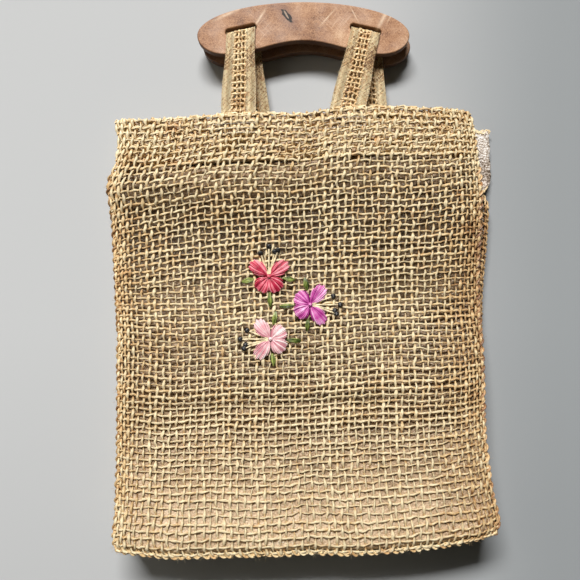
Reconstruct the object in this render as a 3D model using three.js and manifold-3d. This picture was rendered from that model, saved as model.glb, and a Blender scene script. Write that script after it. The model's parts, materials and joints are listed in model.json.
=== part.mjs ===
// A straw tote bag lying on its back, with two wooden handles.
// Millimetres. +X runs across the bag, +Y from its base to its handles, +Z up off the surface it lies on.
// Places below are measured from a point on the surface near the middle of the bag. The finished bag is
// moved so that its origin is the bottom centre of its bounding box.

import * as THREE from "three";
import { mergeVertices } from "three/addons/utils/BufferGeometryUtils.js";
import Module from "manifold-3d";

const wasm = await Module();
wasm.setup();

// Cloth: sheet thicknesses, the turned-in hem, the base corners' radii and the front panel's rolled edge.
// Neighbouring pieces keep the gap.
const GAP = 0.3;
const STRAW = 2.4;
const LINING = 1;
const HEM = { deep: 45, thick: 4.4 };
const CORNER = { front: 9, back: 12 };
const EDGE_ROLL = { wide: 12, drop: 3.5 };

// Spacing of the mesh's rows along the panels and of its columns across them
const PITCH = { along: 12, across: 21 };

// Side edges of both panels, a row for each station from base (0) to mouth (1)
const SIDES = [
  { along: 0, frontLeft: -161, frontRight: 192, backLeft: -158, backRight: 190 },
  { along: 0.05, frontLeft: -161.8, frontRight: 190.5, backLeft: -160, backRight: 189 },
  { along: 0.1, frontLeft: -160.6, frontRight: 186.5, backLeft: -161, backRight: 187 },
  { along: 0.2, frontLeft: -160.8, frontRight: 182, backLeft: -162, backRight: 184 },
  { along: 0.3, frontLeft: -161.8, frontRight: 181.2, backLeft: -162, backRight: 182 },
  { along: 0.4, frontLeft: -162.2, frontRight: 182, backLeft: -162, backRight: 181 },
  { along: 0.5, frontLeft: -163, frontRight: 180.8, backLeft: -162, backRight: 181 },
  { along: 0.6, frontLeft: -166, frontRight: 180.2, backLeft: -163, backRight: 179 },
  { along: 0.7, frontLeft: -168.5, frontRight: 181.5, backLeft: -164, backRight: 176 },
  { along: 0.8, frontLeft: -170.8, frontRight: 182, backLeft: -165, backRight: 170 },
  { along: 0.84, frontLeft: -173, frontRight: 181, backLeft: -165, backRight: 165 },
  { along: 0.9, frontLeft: -166.5, frontRight: 178.5, backLeft: -165, backRight: 162 },
  { along: 0.95, frontLeft: -164.5, frontRight: 177, backLeft: -164, backRight: 161 },
  { along: 1, frontLeft: -168, frontRight: 172.5, backLeft: -164, backRight: 160 },
];

// Outward swell of the gusset on each side. A negative swell folds inwards.
const SWELL = [
  { along: 0, left: 2, right: 2 },
  { along: 0.05, left: 0, right: 2 },
  { along: 0.1, left: -2, right: 2 },
  { along: 0.2, left: -4, right: 3 },
  { along: 0.3, left: -5, right: 4 },
  { along: 0.4, left: -6, right: 5 },
  { along: 0.5, left: -7, right: 6 },
  { along: 0.6, left: -7, right: 9 },
  { along: 0.7, left: -7, right: 13 },
  { along: 0.8, left: -7, right: 17 },
  { along: 0.84, left: -7, right: 17 },
  { along: 0.9, left: -8, right: 14 },
  { along: 0.95, left: -8, right: 12 },
  { along: 1, left: -8, right: 12 },
];

// Base and mouth edges of both panels, a row for each station from the left side (0) to the right (1)
const ENDS = [
  { across: 0, frontBase: -241, frontMouth: 161.5, backBase: -252, backMouth: 149 },
  { across: 0.14, frontBase: -245.3, frontMouth: 163, backBase: -254, backMouth: 150 },
  { across: 0.28, frontBase: -243.5, frontMouth: 166, backBase: -254, backMouth: 151 },
  { across: 0.42, frontBase: -242.6, frontMouth: 168.2, backBase: -253, backMouth: 152 },
  { across: 0.52, frontBase: -241, frontMouth: 167.8, backBase: -252, backMouth: 153 },
  { across: 0.62, frontBase: -242, frontMouth: 172.2, backBase: -251, backMouth: 154 },
  { across: 0.74, frontBase: -239.5, frontMouth: 174, backBase: -250, backMouth: 155 },
  { across: 0.86, frontBase: -235.5, frontMouth: 173, backBase: -247, backMouth: 155.5 },
  { across: 0.95, frontBase: -230.5, frontMouth: 171.8, backBase: -243, backMouth: 156 },
  { across: 1, frontBase: -225, frontMouth: 169, backBase: -239, backMouth: 156 },
];

// Height of the front panel's face over the surface, a row for each station from base to mouth,
// at five places from the left side to the right
const HEIGHTS = [
  { along: 0, left: 49, leftMiddle: 50, middle: 50, rightMiddle: 50, right: 48 },
  { along: 0.05, left: 48.5, leftMiddle: 49.5, middle: 49.5, rightMiddle: 49.5, right: 48 },
  { along: 0.12, left: 44.5, leftMiddle: 45.5, middle: 45.5, rightMiddle: 46, right: 46 },
  { along: 0.2, left: 40, leftMiddle: 41, middle: 41, rightMiddle: 42, right: 43 },
  { along: 0.28, left: 36.5, leftMiddle: 36, middle: 36.5, rightMiddle: 37.5, right: 39 },
  { along: 0.36, left: 35, leftMiddle: 34.5, middle: 34, rightMiddle: 34.5, right: 36 },
  { along: 0.45, left: 32, leftMiddle: 30.5, middle: 30, rightMiddle: 29, right: 31 },
  { along: 0.55, left: 29, leftMiddle: 27, middle: 26, rightMiddle: 24, right: 25 },
  { along: 0.65, left: 27, leftMiddle: 24, middle: 23.5, rightMiddle: 25, right: 25 },
  { along: 0.74, left: 25.5, leftMiddle: 23.5, middle: 24, rightMiddle: 26.5, right: 27 },
  { along: 0.82, left: 29.5, leftMiddle: 28, middle: 26.5, rightMiddle: 27.5, right: 28.5 },
  { along: 0.87, left: 30, leftMiddle: 29.5, middle: 29, rightMiddle: 28, right: 29.5 },
  { along: 0.92, left: 28, leftMiddle: 29, middle: 29.5, rightMiddle: 29.5, right: 29 },
  { along: 1, left: 26, leftMiddle: 27.5, middle: 28, rightMiddle: 28, right: 26.5 },
];

// Soft creases in the front panel: ridges stand up, troughs have a negative height
const CREASES = [
  { x: -17, y: -109, turn: 2.5, long: 276, wide: 7, height: -2 },
  { x: -103, y: -130, turn: 5, long: 103, wide: 7, height: -1.5 },
  { x: 94, y: -95, turn: 0, long: 150, wide: 8, height: 1.2 },
  { x: -133, y: 97, turn: 4, long: 90, wide: 9, height: 1.6 },
  { x: -125, y: 77, turn: 6, long: 95, wide: 9, height: -1.4 },
  { x: 75, y: 45, turn: 90, long: 115, wide: 7, height: 0.8 },
  { x: 146, y: -18, turn: -10, long: 55, wide: 12, height: -1.6 },
  { x: 60, y: 122, turn: 20, long: 80, wide: 12, height: 1 },
];

// The gusset's seam to the front panel is open above this station on the right,
// where the loose end lies out flat beside the bag
const OPEN_SEAM = { from: 0.79, turned: 0.885 };
const LOOSE_END = [
  { out: -1.2, up: 0 },
  { out: 0.3, up: 2.9 },
  { out: 5, up: 2.2 },
  { out: 12, up: -0.6 },
  { out: 24, up: -1.4 },
  { out: 37, up: 0.4 },
];

// The lining stands in from the panels' edges and clear of the front panel, and its own gusset is held in
// from the ends of the gusset's wall. On the loose end, it leaves these shares of the width bare.
const LINING_FIT = { inset: 7.6, clear: 1.2, seam: 3 * GAP, lowBare: 0.1, highBare: 0.03, top: 0.985 };

// The lining sags below the front panel by this much, a row for each station from base to mouth
const LINING_SAG = [
  { along: 0, deep: 0.6 },
  { along: 0.2, deep: 0.8 },
  { along: 0.27, deep: 2.2 },
  { along: 0.38, deep: 2.6 },
  { along: 0.6, deep: 4.5 },
  { along: 0.76, deep: 4 },
  { along: 0.86, deep: 2 },
  { along: 1, deep: 1.5 },
];

// Handles: kidney-shaped boards with a slot at each end for a strap
const HANDLE = { long: 202, rise: 32, lobe: 26, drop: 18, arch: 13, thick: 8.7, round: 1.8 };
const SLOT = { out: 59.3, up: 5.6, long: 30, high: 6.4, turn: 12.5 };
const HANDLES = {
  front: { x: 12.7, y: 242, z: 16.2 },
  back: { x: 16.3, y: 237, z: 2.3 },
};

// Webbing straps, each looped through a handle's slot with both legs sewn inside the hem
const STRAP = { thick: 2, slotWidth: 27.5, hemWidth: 33, bend: 1.8, sewn: 25, slotSeat: 1, barReach: 24 };
const STRAPS = [
  { name: "strap_front_left", handle: "front", side: -1, hemX: -49.4, hemTurn: 2 },
  { name: "strap_front_right", handle: "front", side: 1, hemX: 54.9, hemTurn: -11 },
  { name: "strap_back_left", handle: "back", side: -1, hemX: -34.1, hemTurn: 4 },
  { name: "strap_back_right", handle: "back", side: 1, hemX: 79.4, hemTurn: -3 },
];

// Raised embroidery. Each flower has fan-shaped petals, leaves and knotted stamens, turned from the way
// that it faces. Reaches are from its centre.
const STITCH = { high: 1.7, stem: 0.55, knot: 1.5 };
const PETALS = [
  { turn: 59, reach: 20.5, wide: 14 },
  { turn: -59, reach: 20.5, wide: 14 },
  { turn: 143, reach: 16, wide: 13.5 },
  { turn: -143, reach: 16, wide: 13.5 },
];
const LEAVES = [
  { turn: 101, from: 14, to: 27.5, wide: 6 },
  { turn: -97, from: 14, to: 26, wide: 5.5 },
  { turn: 183, from: 15, to: 31, wide: 5.5 },
];
const STAMENS = [
  { turn: 23, reach: 22 },
  { turn: 1, reach: 28 },
  { turn: -15, reach: 24.5 },
  { turn: -18, reach: 30 },
];
const FLOWERS = [
  { name: "flower_coral", colour: 0xe2525c, x: -20, y: 12.8, facing: 90, hand: 1 },
  { name: "flower_magenta", colour: 0xd25bc4, x: 19, y: -14, facing: 0, hand: 1 },
  { name: "flower_pink", colour: 0xf0a9bd, x: -18.3, y: -46.3, facing: 180, hand: -1 },
];

const finish = (color, roughness) => new THREE.MeshStandardMaterial({ color, roughness, metalness: 0 });
const strawMaterial = () => finish(0xd8bb83, 0.85);
const liningMaterial = () => finish(0xcbb09a, 0.5);
const webbingMaterial = () => finish(0xdcc290, 0.85);
const woodMaterial = () => finish(0xa87450, 0.4);
const threadMaterial = (colour) => finish(colour, 0.55);

const radians = THREE.MathUtils.degToRad;
const lerp = THREE.MathUtils.lerp;

// Reads a column of a table at any station, as a smooth curve through its rows.
function readTable(rows, key, at, column) {
  const last = rows.length - 1;
  let i = 0;
  while (i < last - 1 && at > rows[i + 1][key]) {
    i += 1;
  }
  const slope = (k) => {
    const a = rows[Math.max(k - 1, 0)];
    const b = rows[Math.min(k + 1, last)];
    return (b[column] - a[column]) / (b[key] - a[key]);
  };
  const span = rows[i + 1][key] - rows[i][key];
  const t = THREE.MathUtils.clamp((at - rows[i][key]) / span, 0, 1);
  const start = rows[i][column];
  const end = rows[i + 1][column];
  const rise = (t * t) * (3 - 2 * t);
  const leave = t * (1 - t) * (1 - t) * span * slope(i);
  const arrive = t * t * (t - 1) * span * slope(i + 1);
  return start + (end - start) * rise + leave + arrive;
}

const side = (at, column) => readTable(SIDES, "along", at, column);
const end = (at, column) => readTable(ENDS, "across", at, column);

// How far a rounded base corner draws a side edge in, at a height above the base edge.
function cornerInset(radius, above) {
  if (above >= radius) {
    return 0;
  }
  return radius - Math.sqrt(radius * radius - (radius - above) ** 2);
}

// A point of the front or back panel in plan. The inset moves the side and base edges inwards.
function planPoint(panel, across, along, inset = 0) {
  const radius = Math.max(CORNER[panel] - inset, 1);
  const base = end(across, `${panel}Base`) + inset;
  const mouth = end(across, `${panel}Mouth`);
  const corner = cornerInset(radius, along * (mouth - base));
  const left = side(along, `${panel}Left`) + inset + corner;
  const right = side(along, `${panel}Right`) - inset - corner;
  return new THREE.Vector2(lerp(left, right, across), lerp(base, mouth, along));
}

// Height of one crease at a place: a bell across it, fading out at both ends.
function creaseHeight(crease, x, y) {
  const turn = radians(crease.turn);
  const dx = x - crease.x;
  const dy = y - crease.y;
  const lengthwise = dx * Math.cos(turn) + dy * Math.sin(turn);
  const across = dy * Math.cos(turn) - dx * Math.sin(turn);
  const fade = 1 - THREE.MathUtils.smoothstep(Math.abs(lengthwise), 0.3 * crease.long, 0.6 * crease.long);
  return crease.height * fade * Math.exp(-((across / crease.wide) ** 2));
}

// Height of the front panel's face, rolled down a little at its sides and base.
function faceHeight(across, along, plan, creased = true) {
  const places = ["left", "leftMiddle", "middle", "rightMiddle", "right"];
  const row = places.map((name, i) => ({ across: i / 4, height: readTable(HEIGHTS, "along", along, name) }));
  const open = readTable(row, "across", across, "height");
  const folds = creased ? CREASES : [];
  const creases = folds.reduce((sum, crease) => sum + creaseHeight(crease, plan.x, plan.y), 0);
  const reach = Math.min(
    plan.x - side(along, "frontLeft"),
    side(along, "frontRight") - plan.x,
    plan.y - end(across, "frontBase"),
  );
  const roll = 1 - THREE.MathUtils.clamp(reach / EDGE_ROLL.wide, 0, 1);
  return open + creases * (1 - roll) - EDGE_ROLL.drop * roll * roll;
}

function frontPoint(across, along, inset = 0) {
  const plan = planPoint("front", across, along, inset);
  return new THREE.Vector3(plan.x, plan.y, faceHeight(across, along, plan));
}

// The front panel's stations at a place in plan, found in a few steps.
function frontStations(x, y) {
  let across = 0.5;
  let along = 0.5;
  for (let step = 0; step < 6; step += 1) {
    const base = end(across, "frontBase");
    along = (y - base) / (end(across, "frontMouth") - base);
    across = (x - side(along, "frontLeft")) / (side(along, "frontRight") - side(along, "frontLeft"));
  }
  return { across, along };
}

function frontHeightAt(x, y) {
  const { across, along } = frontStations(x, y);
  return faceHeight(across, along, new THREE.Vector2(x, y));
}

// Closed solid between two faces given as functions of column and row.
// The outer face looks the way of columns × rows.
function sheetSolid(columns, rows, outer, inner) {
  const points = [];
  const index = (face, i, j) => (face * rows + j) * columns + i;
  for (const face of [outer, inner]) {
    for (let j = 0; j < rows; j += 1) {
      for (let i = 0; i < columns; i += 1) {
        points.push(...face(i, j).toArray());
      }
    }
  }
  const faces = [];
  const top = rows - 1;
  const far = columns - 1;
  const quad = (a, b, c, d) => faces.push(a, b, c, a, c, d);
  for (let j = 0; j < top; j += 1) {
    for (let i = 0; i < far; i += 1) {
      quad(index(0, i, j), index(0, i + 1, j), index(0, i + 1, j + 1), index(0, i, j + 1));
      quad(index(1, i, j), index(1, i, j + 1), index(1, i + 1, j + 1), index(1, i + 1, j));
    }
  }
  for (let i = 0; i < far; i += 1) {
    quad(index(1, i, 0), index(1, i + 1, 0), index(0, i + 1, 0), index(0, i, 0));
    quad(index(0, i, top), index(0, i + 1, top), index(1, i + 1, top), index(1, i, top));
  }
  for (let j = 0; j < top; j += 1) {
    quad(index(0, 0, j), index(0, 0, j + 1), index(1, 0, j + 1), index(1, 0, j));
    quad(index(1, far, j), index(1, far, j + 1), index(0, far, j + 1), index(0, far, j));
  }
  const geometry = new THREE.BufferGeometry();
  geometry.setAttribute("position", new THREE.Float32BufferAttribute(points, 3));
  geometry.setIndex(faces);
  return geometry;
}

// Stations along a panel: close together round the base corners and at the hem, even elsewhere.
function alongStations(pitch) {
  const long = end(0.5, "frontMouth") - end(0.5, "frontBase");
  const above = (turn) => CORNER.front * (1 - Math.cos((turn * Math.PI) / 2));
  const round = [0, 0.3, 0.6, 1].map((turn) => above(turn) / long);
  const hem = 1 - HEM.deep / long;
  const step = 0.5 / long;
  const stations = [...round];
  const body = Math.round(((hem - round[3]) * long) / pitch);
  for (let k = 1; k < body; k += 1) {
    stations.push(lerp(round[3], hem - step, k / body));
  }
  stations.push(hem - step, hem + step);
  const hemmed = Math.round(HEM.deep / pitch);
  for (let k = 1; k <= hemmed; k += 1) {
    stations.push(lerp(hem + step, 1, k / hemmed));
  }
  return { stations, hem };
}

// Stations across a panel: close together over the rolled edges, even between them.
function acrossStations(pitch) {
  const wide = side(0.5, "frontRight") - side(0.5, "frontLeft");
  const roll = [0, 0.35, 1].map((share) => (share * EDGE_ROLL.wide) / wide);
  const middle = Math.round((wide - 2 * EDGE_ROLL.wide) / pitch);
  const stations = [...roll];
  for (let k = 1; k < middle; k += 1) {
    stations.push(lerp(roll[2], 1 - roll[2], k / middle));
  }
  return [...stations, ...roll.map((share) => 1 - share).reverse()];
}

const { stations: ALONG, hem: HEM_LINE } = alongStations(PITCH.along);
const ACROSS = acrossStations(PITCH.across);
const clothThickness = (along) => (along > HEM_LINE ? HEM.thick : STRAW);

// The gusset and its lining step clear of the hem just before it starts.
const BELOW_HEM = HEM_LINE - 0.01;

function frontPanel() {
  const face = (i, j) => frontPoint(ACROSS[i], ALONG[j]);
  const underside = (i, j) => face(i, j).sub(new THREE.Vector3(0, 0, clothThickness(ALONG[j])));
  return sheetSolid(ACROSS.length, ALONG.length, face, underside);
}

// Outline of a flat panel between two stations, taken anticlockwise from its left base corner.
function flatOutline(panel, from, to, inset) {
  const rows = [from, ...ALONG.filter((along) => along > from && along < to), to];
  const columns = ACROSS.slice(1, -1);
  const base = columns.map((across) => planPoint(panel, across, from, inset));
  const right = rows.map((along) => planPoint(panel, 1, along, inset));
  const mouth = columns.map((across) => planPoint(panel, across, to, inset)).reverse();
  const left = rows.map((along) => planPoint(panel, 0, along, inset)).reverse();
  return new THREE.Shape([...base, ...right, ...mouth, ...left]);
}

function toManifold(geometry) {
  const bare = geometry.clone();
  for (const name of Object.keys(bare.attributes)) {
    if (name !== "position") {
      bare.deleteAttribute(name);
    }
  }
  const merged = mergeVertices(bare, 1e-4);
  const vertProperties = new Float32Array(merged.attributes.position.array);
  const triVerts = new Uint32Array(merged.index.array);
  return new wasm.Manifold(new wasm.Mesh({ numProp: 3, vertProperties, triVerts }));
}

function fromManifold(solid) {
  const mesh = solid.getMesh();
  const geometry = new THREE.BufferGeometry();
  geometry.setAttribute("position", new THREE.BufferAttribute(new Float32Array(mesh.vertProperties), 3));
  geometry.setIndex(new THREE.BufferAttribute(new Uint32Array(mesh.triVerts), 1));
  return geometry;
}

function slab(shape, low, high) {
  const geometry = new THREE.ExtrudeGeometry(shape, { depth: high - low, bevelEnabled: false });
  return geometry.translate(0, 0, low);
}

// The back panel lies flat, with its hem turned in as a second layer.
function backPanel() {
  const cloth = toManifold(slab(flatOutline("back", 0, 1, 0), 0, STRAW));
  const hemStart = ALONG.find((along) => along > HEM_LINE);
  const turnedIn = toManifold(slab(flatOutline("back", hemStart, 1, 0), STRAW / 2, HEM.thick));
  return fromManifold(cloth.add(turnedIn));
}

// The gusset's stations: down the left side, across the base and up the right side.
function gussetStations() {
  const left = [...ALONG].reverse().map((along) => ({ across: 0, along }));
  const base = ACROSS.slice(1, -1).map((across) => ({ across, along: 0 }));
  const right = ALONG.map((along) => ({ across: 1, along }));
  return [...left, ...base, ...right];
}

// Outward direction of the bag's rim at a station.
function outward({ across, along }) {
  const above = along * (end(across, "frontMouth") - end(across, "frontBase"));
  const turn = Math.acos(THREE.MathUtils.clamp(1 - above / CORNER.front, 0, 1));
  if (across === 0) {
    return new THREE.Vector2(-Math.sin(turn), -Math.cos(turn));
  }
  if (across === 1) {
    return new THREE.Vector2(Math.sin(turn), -Math.cos(turn));
  }
  return new THREE.Vector2(0, -1);
}

// How far the gusset's loose end is turned out flat at a station.
function turnedOut({ across, along }) {
  return across === 1 ? THREE.MathUtils.smoothstep(along, OPEN_SEAM.from, OPEN_SEAM.turned) : 0;
}

// Middle line of the gusset at a station, from the back panel (0) to the front panel (1): how far it has
// gone from the back panel's edge to the front panel's, how far out from there it is, and how high.
function gussetLine(station, rise, foot, head) {
  const { across, along } = station;
  const swell = readTable(SWELL, "along", along, across === 0 ? "left" : "right");
  const turned = turnedOut(station);
  const loose = LOOSE_END.map((point, i) => ({ rise: i / (LOOSE_END.length - 1), ...point }));
  const sewn = swell * Math.sin(Math.PI * rise) ** 2 - STRAW / 2;
  return {
    share: rise * (1 - turned),
    out: lerp(sewn, readTable(loose, "rise", rise, "out"), turned),
    up: lerp(lerp(foot, head, rise), foot + readTable(loose, "rise", rise, "up"), turned),
  };
}

// A point of the gusset, or of its lining, at a depth from the gusset's outer face.
// Its seams stand upright, so that they meet the panels squarely.
function gussetPoint(station, rise, depth, foot, head) {
  const step = 0.02;
  const back = planPoint("back", station.across, station.along);
  const front = planPoint("front", station.across, station.along);
  const out = outward(station);
  const lean = front.clone().sub(back).dot(out);
  const low = gussetLine(station, Math.max(rise - step, 0), foot, head);
  const high = gussetLine(station, Math.min(rise + step, 1), foot, head);
  const here = gussetLine(station, rise, foot, head);
  const sideways = (high.share - low.share) * lean + high.out - low.out;
  const slope = new THREE.Vector2(sideways, high.up - low.up).normalize();
  const footSeam = 1 - THREE.MathUtils.clamp(8 * rise, 0, 1);
  const headSeam = 1 - THREE.MathUtils.clamp(8 * (1 - rise) + 9 * turnedOut(station), 0, 1);
  slope.lerp(new THREE.Vector2(0, 1), Math.max(footSeam, headSeam)).normalize();
  const inward = depth - STRAW / 2;
  const place = back.lerp(front, here.share).addScaledVector(out, here.out - slope.y * inward);
  return new THREE.Vector3(place.x, place.y, here.up + slope.x * inward);
}

// Height of the front panel's underside over the gusset's head, at a depth from the rim.
function rimUnderside({ across, along }, depth) {
  const plan = planPoint("front", across, along, depth);
  return faceHeight(across, along, plan) - clothThickness(along);
}

// The gusset's head stays a little lower than the seam's gap, because the panel is flat between its rows.
const HEAD_GAP = 1.8 * GAP;
const RISES = [0, 0.2, 0.4, 0.6, 0.8, 1];
const footHeight = (along) => (along > BELOW_HEM ? HEM.thick : STRAW) + GAP;
const headHeight = (station, depth) => rimUnderside(station, depth) - HEAD_GAP;

// A point of the gusset's wall as it is built, flat between its rises.
function wallPoint(station, rise, depth) {
  const foot = footHeight(station.along);
  const head = headHeight(station, Math.min(depth, STRAW));
  const k = Math.min(Math.floor(rise * (RISES.length - 1)), RISES.length - 2);
  const low = gussetPoint(station, RISES[k], depth, foot, head);
  const high = gussetPoint(station, RISES[k + 1], depth, foot, head);
  return low.lerp(high, (rise - RISES[k]) / (RISES[k + 1] - RISES[k]));
}

function gusset() {
  const stations = gussetStations();
  const point = (i, j, depth) => wallPoint(stations[i], RISES[j], depth);
  return sheetSolid(stations.length, RISES.length, (i, j) => point(i, j, 0), (i, j) => point(i, j, STRAW));
}

// A low mound from one reach to another along a direction, wider towards its tip by the fan.
function blade(from, to, wide, fan) {
  const shape = new THREE.SphereGeometry(1, 8, 4);
  const position = shape.attributes.position;
  for (let i = 0; i < position.count; i += 1) {
    const reach = (1 + position.getX(i)) / 2;
    const spread = (wide / 2) * (1 + fan * (reach - 0.5));
    position.setXYZ(i, lerp(from, to, reach), position.getY(i) * spread, position.getZ(i) * STITCH.high);
  }
  return shape;
}

function stalk(reach) {
  return new THREE.BoxGeometry(reach, 2 * STITCH.stem, 2 * STITCH.stem).translate(reach / 2, 0, 0);
}

// One embroidered flower, its flat underside draped a hair above the front panel's face.
function flower(spec) {
  const parts = [new THREE.SphereGeometry(3, 6, 4).scale(1, 1, 0.7)];
  const place = (geometry, turn) => parts.push(geometry.rotateZ(radians(spec.facing + spec.hand * turn)));
  for (const { turn, reach, wide } of PETALS) {
    place(blade(0, reach, wide, 1.1), turn);
  }
  for (const { turn, from, to, wide } of LEAVES) {
    place(blade(from, to, wide, 0), turn);
    place(stalk((from + to) / 2), turn);
  }
  for (const { turn, reach } of STAMENS) {
    place(stalk(reach), turn);
    place(new THREE.SphereGeometry(STITCH.knot, 6, 4).translate(reach, 0, 0), turn);
  }
  const above = new THREE.BoxGeometry(200, 200, 10).translate(0, 0, 5);
  const raised = parts.map(toManifold).reduce((sum, part) => sum.add(part)).intersect(toManifold(above));
  const geometry = fromManifold(raised).translate(spec.x, spec.y, 0);
  const position = geometry.attributes.position;
  for (let i = 0; i < position.count; i += 1) {
    const surface = frontHeightAt(position.getX(i), position.getY(i));
    position.setZ(i, position.getZ(i) + surface + GAP + 0.1);
  }
  return geometry;
}

// Outline of a handle: a low dome over two lobes, with an arch between them for the hand.
function handleShape() {
  const half = HANDLE.long / 2;
  const flat = half - HANDLE.lobe;
  const points = [];
  const arc = (count, point) => {
    for (let k = 0; k < count; k += 1) {
      points.push(point(k / count));
    }
  };
  arc(20, (t) => new THREE.Vector2(half * Math.cos(Math.PI * t), HANDLE.rise * Math.sin(Math.PI * t)));
  const lobe = (angle, way) => {
    return new THREE.Vector2(way * flat + HANDLE.lobe * Math.cos(angle), HANDLE.drop * Math.sin(angle));
  };
  arc(5, (t) => lobe(Math.PI * (1 + t / 2), -1));
  arc(14, (t) => {
    const x = lerp(-flat, flat, t);
    return new THREE.Vector2(x, -HANDLE.drop + (HANDLE.arch * (1 + Math.cos((Math.PI * x) / flat))) / 2);
  });
  arc(5, (t) => lobe(Math.PI * (1.5 + t / 2), 1));
  const shape = new THREE.Shape(points);
  for (const way of [-1, 1]) {
    shape.holes.push(slotOutline(way));
  }
  return shape;
}

function slotOutline(way) {
  const radius = SLOT.high / 2;
  const reach = SLOT.long / 2 - radius;
  const points = [];
  for (let k = 0; k < 12; k += 1) {
    const angle = (Math.PI * (k + 0.5)) / 6;
    const end = Math.cos(angle) > 0 ? reach : -reach;
    points.push(new THREE.Vector2(end + radius * Math.cos(angle), radius * Math.sin(angle)));
  }
  const turn = radians(-way * SLOT.turn);
  const centre = new THREE.Vector2(way * SLOT.out, SLOT.up);
  return new THREE.Path(points.map((point) => point.rotateAround(new THREE.Vector2(), turn).add(centre)));
}

function handle() {
  const { thick, round } = HANDLE;
  const bevel = { bevelThickness: round, bevelSize: round, bevelOffset: -round, bevelSegments: 1 };
  const geometry = new THREE.ExtrudeGeometry(handleShape(), { depth: thick - 2 * round, ...bevel });
  return geometry.translate(0, 0, round);
}

// Middle line of a strap: out of the hem, over the handle's bar, through the slot and back under the bar.
function strapLine(spec) {
  const board = HANDLES[spec.handle];
  const front = spec.handle === "front";
  const slot = { x: board.x + spec.side * SLOT.out, y: board.y + SLOT.up - STRAP.slotSeat };
  const { across } = frontStations(spec.hemX, 150);
  const hemY = end(across, `${spec.handle}Mouth`);
  const half = STRAP.thick / 2;
  const over = board.z + HANDLE.thick + GAP + half;
  const under = board.z - GAP - half;
  const sewnHeight = (y, layer) => {
    if (front) {
      return frontHeightAt(spec.hemX, y) - HEM.thick - 2 * GAP - half - layer * (STRAP.thick + GAP);
    }
    return HEM.thick + GAP + half + (1 - layer) * (STRAP.thick + GAP);
  };
  const leg = (layer, barHeight) => {
    const barEnd = slot.y - STRAP.barReach;
    const points = [];
    for (const deep of [STRAP.sewn, STRAP.sewn / 2, 0]) {
      points.push({ y: hemY - deep, z: sewnHeight(hemY - deep, layer) });
    }
    for (let k = 1; k <= 6; k += 1) {
      const rise = THREE.MathUtils.smoothstep(k / 6, 0, 1);
      points.push({ y: lerp(hemY, barEnd, k / 6), z: lerp(sewnHeight(hemY, layer), barHeight, rise) });
    }
    return points;
  };
  const bend = (height, way) => [0, 1, 2, 3, 4].map((k) => {
    const angle = (Math.PI * k) / 8;
    const back = STRAP.bend * (1 - Math.sin(angle));
    return { y: slot.y - back, z: height - way * STRAP.bend * (1 - Math.cos(angle)) };
  });
  const line = [...leg(0, over), ...bend(over, 1), ...bend(under, -1).reverse(), ...leg(1, under).reverse()];
  return line.map(({ y, z }) => {
    const share = THREE.MathUtils.clamp((y - hemY) / (slot.y - hemY), -1, 1);
    const turn = lerp(spec.hemTurn, -spec.side * SLOT.turn, THREE.MathUtils.smoothstep(share, 0.3, 1));
    const centre = new THREE.Vector3(lerp(spec.hemX, slot.x, share), y, z);
    const wide = lerp(STRAP.hemWidth, STRAP.slotWidth, THREE.MathUtils.smoothstep(share, 0.2, 0.8));
    return { centre, across: new THREE.Vector3(Math.cos(radians(turn)), Math.sin(radians(turn)), 0), wide };
  });
}

function strap(spec) {
  const line = strapLine(spec);
  const corner = (i, j, lift) => {
    const { centre, across, wide } = line[j];
    const before = line[Math.max(j - 1, 0)].centre;
    const after = line[Math.min(j + 1, line.length - 1)].centre;
    const normal = new THREE.Vector3().crossVectors(across, after.clone().sub(before)).normalize();
    return centre.clone().addScaledVector(across, (i - 0.5) * wide).addScaledVector(normal, lift);
  };
  const half = STRAP.thick / 2;
  return sheetSolid(2, line.length, (i, j) => corner(i, j, half), (i, j) => corner(i, j, -half));
}

function liningSag(along) {
  return readTable(LINING_SAG, "along", along, "deep");
}

// Every other station is enough for the lining, away from the base corners.
const LINING_ALONG = ALONG.filter((along, j) => along < HEM_LINE && (j < 5 || j % 2 === 0));
const LINING_ACROSS = ACROSS.filter((across, i) => i % 2 === 0 || i === ACROSS.length - 1);

// Height of the upper side of the lining behind the front panel.
function liningHeight(across, along) {
  const plan = planPoint("front", across, along, LINING_FIT.inset);
  const middle = Math.min(1, 0.5 + 4 * Math.min(across, 1 - across));
  return faceHeight(across, along, plan, false) - STRAW - LINING_FIT.clear - liningSag(along) * middle;
}

function liningFront() {
  const point = (i, j, down) => {
    const plan = planPoint("front", LINING_ACROSS[i], LINING_ALONG[j], LINING_FIT.inset);
    return new THREE.Vector3(plan.x, plan.y, liningHeight(LINING_ACROSS[i], LINING_ALONG[j]) - down);
  };
  const upper = (i, j) => point(i, j, 0);
  const lower = (i, j) => point(i, j, LINING);
  return sheetSolid(LINING_ACROSS.length, LINING_ALONG.length, upper, lower);
}

const LINING_BACK = { low: STRAW + GAP, high: STRAW + GAP + LINING };

function liningBack() {
  return slab(flatOutline("back", 0, BELOW_HEM, LINING_FIT.inset), LINING_BACK.low, LINING_BACK.high);
}

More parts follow.
